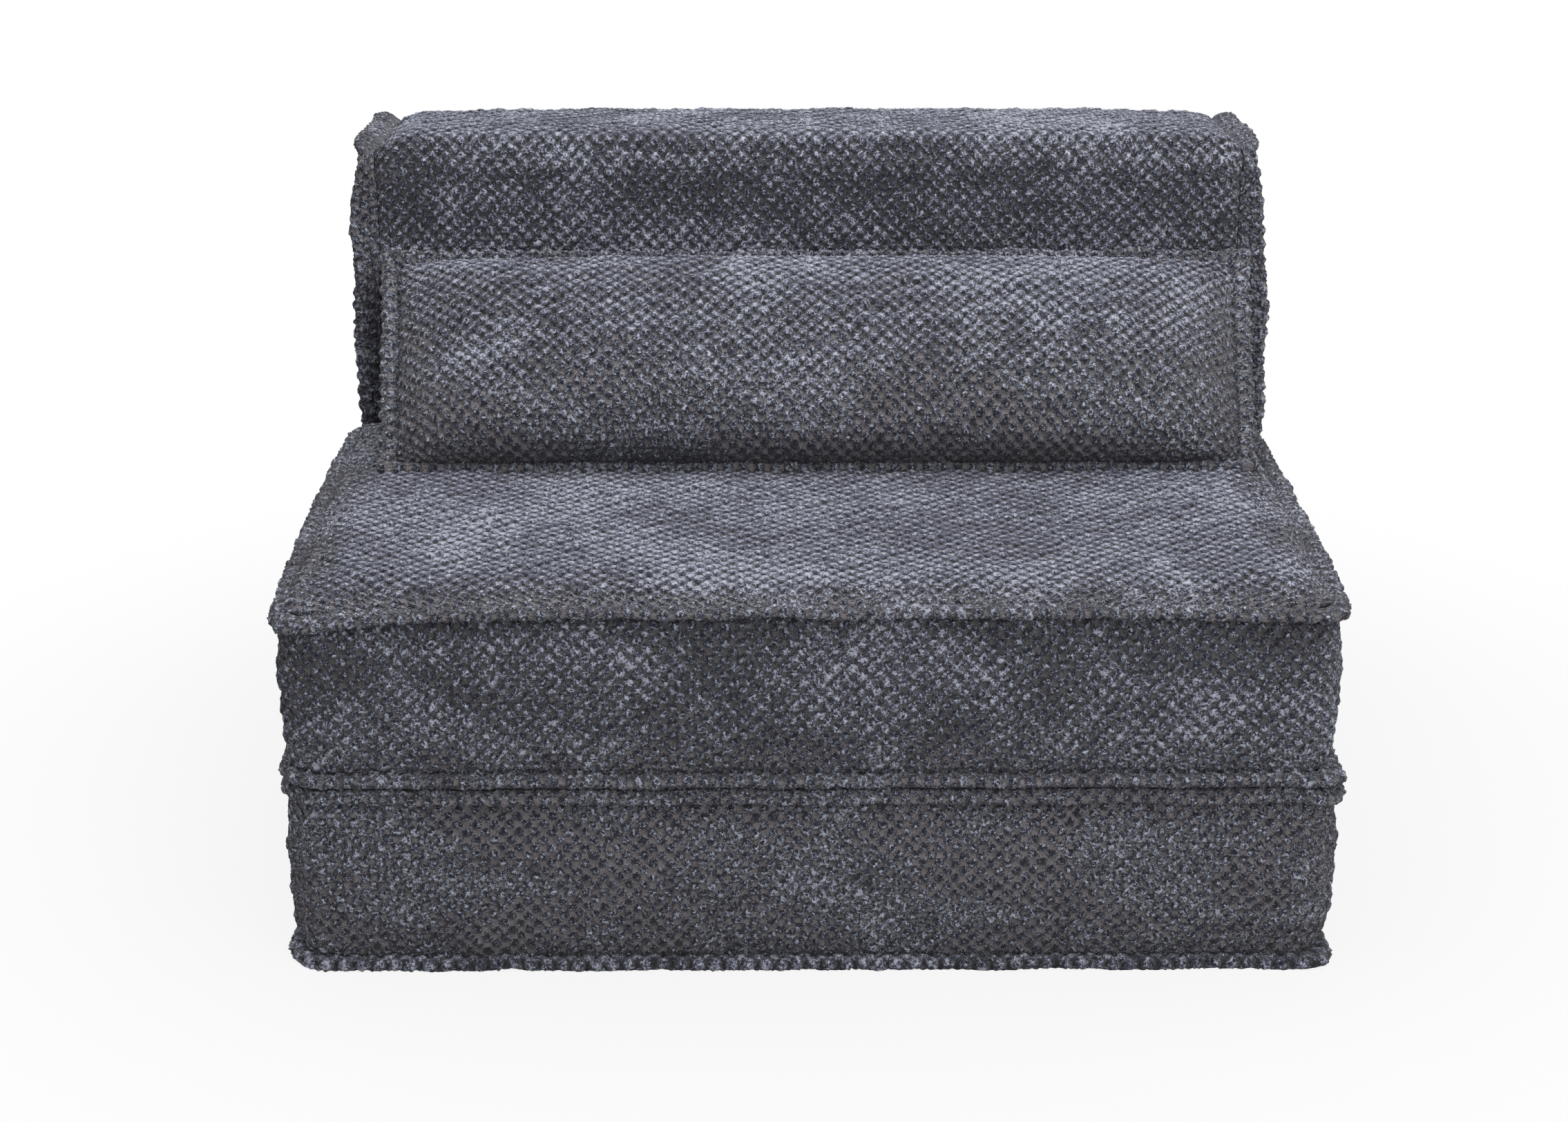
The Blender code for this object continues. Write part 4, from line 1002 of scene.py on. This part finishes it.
# Hook and loop tapes. Two pairs of sewn strips keep the backrest on the base: soft loops on the
# base's top, and stiff nylon hooks under the backrest.
HOOK_DARK = "19191C"
HOOK_LIGHT = "3A3A40"
HOOK_PITCH = 0.0018
LOOP_TANGLE = 0.0011
LOOP_DARK = "222227"
LOOP_LIGHT = "55555D"

# Woven nylon with cut hooks: rows of small dark shiny nubs
hooks, tree, shader, place = new_finish("nylon_hook_tape", 0.5)
nubs = add(tree, "TexVoronoi", {"Vector": place, "Scale": 1 / HOOK_PITCH, "Randomness": 0.1})
nub = add(tree, "MapRange", {0: nubs, 1: 0.2, 2: 0.5, 3: 1.0, 4: 0.0})
patterned(tree, shader, nub, HOOK_DARK, HOOK_LIGHT, HOOK_PITCH / 2)

# Brushed nylon loops: a dull felt of tangled threads, drawn coarse enough to show
loops, tree, shader, place = new_finish("brushed_loop_tape", 0.95, sheen=0.3)
tangle = add(tree, "TexNoise", {"Vector": place, "Scale": 1 / LOOP_TANGLE, "Detail": 3,
                                "Distortion": 3})
patterned(tree, shader, tangle, LOOP_DARK, LOOP_LIGHT, LOOP_TANGLE)
dress(loops, "base_front_loop_tape", "base_rear_loop_tape")
dress(hooks, "backrest_front_hook_tape", "backrest_rear_hook_tape")


# Lumbar pillow. Two chenille panels sewn face to face round loose polyester filling, with the seam
# turned out as a lip. It leans on the backrest, and its foot lies forward on the seat.
PILLOW_LEAN = math.radians(49)
PILLOW_HEIGHT = 0.247
PILLOW_OVERHANG = 0.4
PILLOW_FRONT_SWELL = 0.080
PILLOW_BACK_SWELL = 0.065
PILLOW_ROWS, PILLOW_COLUMNS = 30, 64
PILLOW_PUFF = 0.005
PILLOW_LIP_WIDTH = 0.0180
PILLOW_FOOT_NARROWING = 0.028
FILLING_INSET = 0.009
FILLING_APART = 0.001
PILLOW_FOOT_INSET = 0.013
PILLOW_FOOT_LIFT = 0.0073
PILLOW_SEAT_GAP = 0.002
PILLOW_OVERHANG_REACH = 0.10
PILLOW_LOW_LIP_LIFT = 0.0045
PILLOW_LIP_FORWARD = 0.6

pillow_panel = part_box("pillow_front_panel")
pillow_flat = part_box("pillow_back_panel")[0][2]
pillow_middle = (pillow_panel[0][0] + pillow_panel[1][0]) / 2
pillow_half = (pillow_panel[1][0] - pillow_panel[0][0]) / 2
pillow_up = np.array([0.0, math.sin(PILLOW_LEAN), math.cos(PILLOW_LEAN)])
pillow_out = np.array([0.0, -math.cos(PILLOW_LEAN), math.sin(PILLOW_LEAN)])
foot_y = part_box("pillow_flange")[0][1] + PILLOW_FOOT_INSET
pillow_foot = np.array([pillow_middle, foot_y, pillow_flat + PILLOW_FOOT_LIFT])
to_right, to_front, to_top = np.array([(1.0, 0.0, 0.0), (0.0, -1.0, 0.0), (0.0, 0.0, 1.0)])


def pillow_grid(swell, flip):
    """One face of the pillow: full in its middle, drawn in towards the seam."""
    along = 0.5 - 0.5 * np.cos(math.pi * np.linspace(0, 1, PILLOW_ROWS))[:, None]
    across = np.sin(math.pi / 2 * np.linspace(-1, 1, PILLOW_COLUMNS))[None, :]
    across = 0.55 * across + 0.45 * np.linspace(-1, 1, PILLOW_COLUMNS)[None, :]
    if flip:
        across = across[:, ::-1]
    full = np.clip(1 - np.abs(across) ** 6, 0, 1) ** 0.7
    slumped = along**0.74
    full = full * np.clip(1 - np.abs(2 * slumped - 1) ** 2.2, 0, 1) ** 0.5
    x = across * pillow_half * (1 - PILLOW_FOOT_NARROWING * (1 - along))
    full = full * (1 + 0.05 * wander(x, along, 9))
    height = PILLOW_HEIGHT * along
    overhang = PILLOW_OVERHANG * np.exp(-along / PILLOW_OVERHANG_REACH) * (swell > 0)
    away = unit(pillow_out + overhang[..., None] * to_front)
    place = pillow_foot + x[..., None] * to_right + height[..., None] * pillow_up
    place = place + (swell * full)[..., None] * away
    place[..., 2] = np.maximum(place[..., 2], pillow_flat + PILLOW_SEAT_GAP)
    return place


front_fill = pillow_grid(PILLOW_FRONT_SWELL - FILLING_INSET, False) + FILLING_APART * pillow_out
back_fill = pillow_grid(FILLING_INSET - PILLOW_BACK_SWELL, False) - FILLING_APART * pillow_out
for side in (front_fill, back_fill):
    side[..., 0] = pillow_middle + (side[..., 0] - pillow_middle) * (1 - FILLING_INSET / pillow_half)
filling = cloth_object("pillow_fibre_filling", front_fill, np.zeros_like(front_fill), back_fill)
filling.data.materials.append(wadding)
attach(filling, "pillow")
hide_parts("pillow_filling")


def filled_face(swell, flip):
    """A face of the pillow on its filling, and flat where it lies on the seat."""
    face = puffed(pillow_grid(swell, flip), PILLOW_PUFF)
    face[..., 2] = np.maximum(face[..., 2], pillow_flat + PILLOW_SEAT_GAP)
    return face


# Painted shade: the pillow's front is parted and painted darker in full, most where it turns under
sew("pillow_front_cover", filled_face(PILLOW_FRONT_SWELL, False), "pillow", "pillow_front_panel",
    25, along_step=5, openness=1.0, fill=0.75)
sew("pillow_back_cover", filled_face(-PILLOW_BACK_SWELL, True), "pillow", "pillow_back_panel", 26,
    across_step=4, along_step=4, openness=0.8, fill=0.75)


def pillow_lip_grid():
    """The lip round the pillow: its foot lies on the seat, the rest stands out from the seam."""
    across = np.linspace(-1, 1, 60)
    up = np.linspace(0, 1, 18)[1:-1]
    walk = [(a, 0.0) for a in across] + [(1.0, u) for u in up]
    walk += [(a, 1.0) for a in across[::-1]] + [(-1.0, u) for u in up[::-1]]
    root, out, lift = [], [], []
    for a, u in walk:
        half = pillow_half * (1 - PILLOW_FOOT_NARROWING * (1 - u))
        at = pillow_foot + to_right * a * half + pillow_up * PILLOW_HEIGHT * u
        away = to_right * np.sign(a) * abs(a) ** 60
        if u == 0.0:
            away = away + PILLOW_LIP_FORWARD * to_front
            at = at + to_top * (pillow_flat + PILLOW_LOW_LIP_LIFT - pillow_foot[2])
        if u == 1.0:
            away = away + (pillow_up + to_top) / 2
        root.append(at)
        out.append(away)
        lift.append(to_top if u == 0.0 else pillow_out)
    return lip_grid(np.array(root), np.array(out), np.array(lift), PILLOW_LIP_WIDTH,
                    LIP_THICKNESS, 0.0, 30)


sew_lip("pillow_lip", pillow_lip_grid(), "pillow", "pillow_flange", 27, across_step=6, around=True,
        openness=1.0, strips=5)


# Zips. A nylon coil on woven tape closes each cover, out of sight on a rear face, and a cast zinc
# slider with its pull runs along it.
ZINC_DARK = "8A8B8E"
ZINC_LIGHT = "9A9B9E"
ZINC_TUMBLED = 0.0011
ZINC_RELIEF = 0.00005
NYLON_DARK = "232327"
NYLON_LIGHT = "3B3B42"
ZIP_GRAIN = 0.002
ZIP_TAPE_THICKNESS = 0.0012
ZIP_THREAD = 0.0004
ZIP_COIL_PITCH = 0.0026
ZIP_COIL_STEPS = 10
ZIP_COIL_DEPTH = 0.0008
ZIP_COIL_HALF = 0.0028
ZIP_COIL_LIFT = 0.0006

# Die-cast zinc: grey metal with a soft tumbled gloss
zinc, tree, shader, place = new_finish("tumbled_zinc", 0.38, metallic=1.0)
tumbled = add(tree, "TexNoise", {"Vector": place, "Scale": 1 / ZINC_TUMBLED, "Detail": 2})
patterned(tree, shader, tumbled, ZINC_DARK, ZINC_LIGHT, ZINC_RELIEF)

# Monofilament nylon: dark, smooth and faintly glossy, with a waxy grain
nylon, tree, shader, place = new_finish("nylon_zip_coil", 0.4)
grain = add(tree, "TexNoise", {"Vector": place, "Scale": 1 / ZIP_GRAIN, "Detail": 2})
patterned(tree, shader, grain, NYLON_DARK, NYLON_LIGHT)


def zip_tape_grid(low, high):
    """The woven tape: flat, with a thicker woven edge above and below and a rib at the coil."""
    middle, half = (low[2] + high[2]) / 2, (high[2] - low[2]) / 2
    across = np.linspace(-1, 1, 15)
    proud = ZIP_TAPE_THICKNESS * (1 + 0.5 * (np.abs(across) > 0.85) - 0.4 * (np.abs(across) < 0.1))
    face = [(low[1] + t, middle + half * a) for a, t in zip(across, proud)]
    back = [(low[1], middle + half * a) for a in across[::-1]]
    x = np.linspace(low[0], high[0], 120)
    return np.array([[(along, y, z) for along in x] for y, z in (face + back)[::-1]])


def zip_coil_grid(low, high):
    """The coil: one nylon thread wound along the tape's middle."""
    turns = round((high[0] - low[0]) / ZIP_COIL_PITCH)
    angle = np.linspace(0, 2 * math.pi * turns, turns * ZIP_COIL_STEPS + 1)
    x = low[0] + (high[0] - low[0]) * angle / angle[-1]
    y = (low[1] + high[1]) / 2 + ZIP_COIL_LIFT + ZIP_COIL_DEPTH * np.cos(angle)
    z = (low[2] + high[2]) / 2 + ZIP_COIL_HALF * np.sin(angle)
    path = np.stack([x, y, z], axis=-1)
    ahead = unit(np.gradient(path, axis=0))
    side = unit(np.cross(ahead, [1.0, 0, 0]))
    top = np.cross(side, ahead)
    turn = np.linspace(0, 2 * math.pi, 6, endpoint=False)[:, None, None]
    return path + ZIP_THREAD * (np.cos(turn) * side + np.sin(turn) * top)


for zipped, body in (("base", "base"), ("seat", "seat_block"), ("backrest", "base")):
    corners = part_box(f"{zipped}_zip_tape")
    for kind, grid, finish in (
        ("cloth", zip_tape_grid(*corners), twill), ("coil", zip_coil_grid(*corners), nylon),
    ):
        unlaid = np.zeros((grid.shape[0] + 1,) + grid.shape[1:])
        made = cloth_object(f"{zipped}_zip_{kind}", grid, unlaid, tube=True)
        made.data.materials.append(finish)
        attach(made, body)
        if kind == "cloth":
            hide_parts(f"{zipped}_zip_tape")
    dress(zinc, f"{zipped}_zip_slider", f"{zipped}_zip_pull")


# Studio. A pale paper floor and white surroundings, a broad soft lamp overhead and a weaker one in
# front on the right. The floor shows its shadows near the chair and fades to white farther out.
FLOOR_PALE = "C4C4C4"
FLOOR_REACH = 14.0
FADE_START, FADE_END = 0.5, 1.3
WHITE_NEAR = 0.86
SKY_LEVEL = 0.38
TOP_LAMP_WATTS = 56
FRONT_LAMP_WATTS = 43

floor_mesh = bpy.data.meshes.new("studio_floor")
floor_corners = [(x * FLOOR_REACH, y * FLOOR_REACH, 0) for x, y in ((-1, -1), (1, -1), (1, 1), (-1, 1))]
floor_mesh.from_pydata(floor_corners, [], [(0, 1, 2, 3)])
floor = bpy.data.objects.new("studio_floor", floor_mesh)
bpy.context.collection.objects.link(floor)

# Matt paper: it takes the chair's soft shadow, and has no gloss
paper, tree, shader, place = new_finish("white_paper_sweep", 0.9)
shader.inputs["Base Color"].default_value = linear(FLOOR_PALE)
shader.inputs["Specular IOR Level"].default_value = 0.0
glow = add(tree, "Emission", {"Color": linear("FFFFFF"), "Strength": 1.0})
away = add(tree, "VectorMath", {0: place}, out="Value", operation="LENGTH")
away = add(tree, "MapRange", {0: away, 1: FADE_START, 2: FADE_END, 3: WHITE_NEAR, 4: 1.0},
           interpolation_type="SMOOTHSTEP")
seen = add(tree, "LightPath", out="Is Camera Ray")
seen = add(tree, "Math", {0: seen, 1: away}, operation="MULTIPLY")
mixed = add(tree, "MixShader", {0: seen, 1: shader.outputs[0], 2: glow})
tree.links.new(mixed, tree.nodes["Material Output"].inputs["Surface"])
floor_mesh.materials.append(paper)

# White surroundings: the camera and reflections see white, and the rest of the light is weaker
world = bpy.data.worlds.new("white_studio")
world.use_nodes = True
bpy.context.scene.world = world
tree = world.node_tree
rays = tree.nodes.new("ShaderNodeLightPath")
direct = add(tree, "Math", {0: rays.outputs["Is Camera Ray"], 1: rays.outputs["Is Glossy Ray"]},
             operation="MAXIMUM")
direct = add(tree, "Math", {0: direct, 1: rays.outputs["Is Transmission Ray"]},
             operation="MAXIMUM")
level = add(tree, "Mix", {0: direct, 2: SKY_LEVEL, 3: 1.0}, data_type="FLOAT")
background = tree.nodes["Background"]
background.inputs["Color"].default_value = linear("FFFFFF")
tree.links.new(level, background.inputs["Strength"])

for name, watts, size, spot, aim in (
    ("top_softbox", TOP_LAMP_WATTS, 2.4, (0.0, -0.3, 2.7), (0.0, 0.0, 0.2)),
    ("front_softbox", FRONT_LAMP_WATTS, 2.2, (1.1, -3.0, 2.0), (0.0, 0.0, 0.3)),
):
    lamp = bpy.data.lights.new(name, "AREA")
    lamp.energy = watts
    lamp.size = size
    lit = bpy.data.objects.new(name, lamp)
    lit.location = spot
    lit.rotation_euler = (Vector(spot) - Vector(aim)).to_track_quat("Z", "Y").to_euler()
    bpy.context.collection.objects.link(lit)

bpy.context.scene.view_settings.view_transform = "Standard"
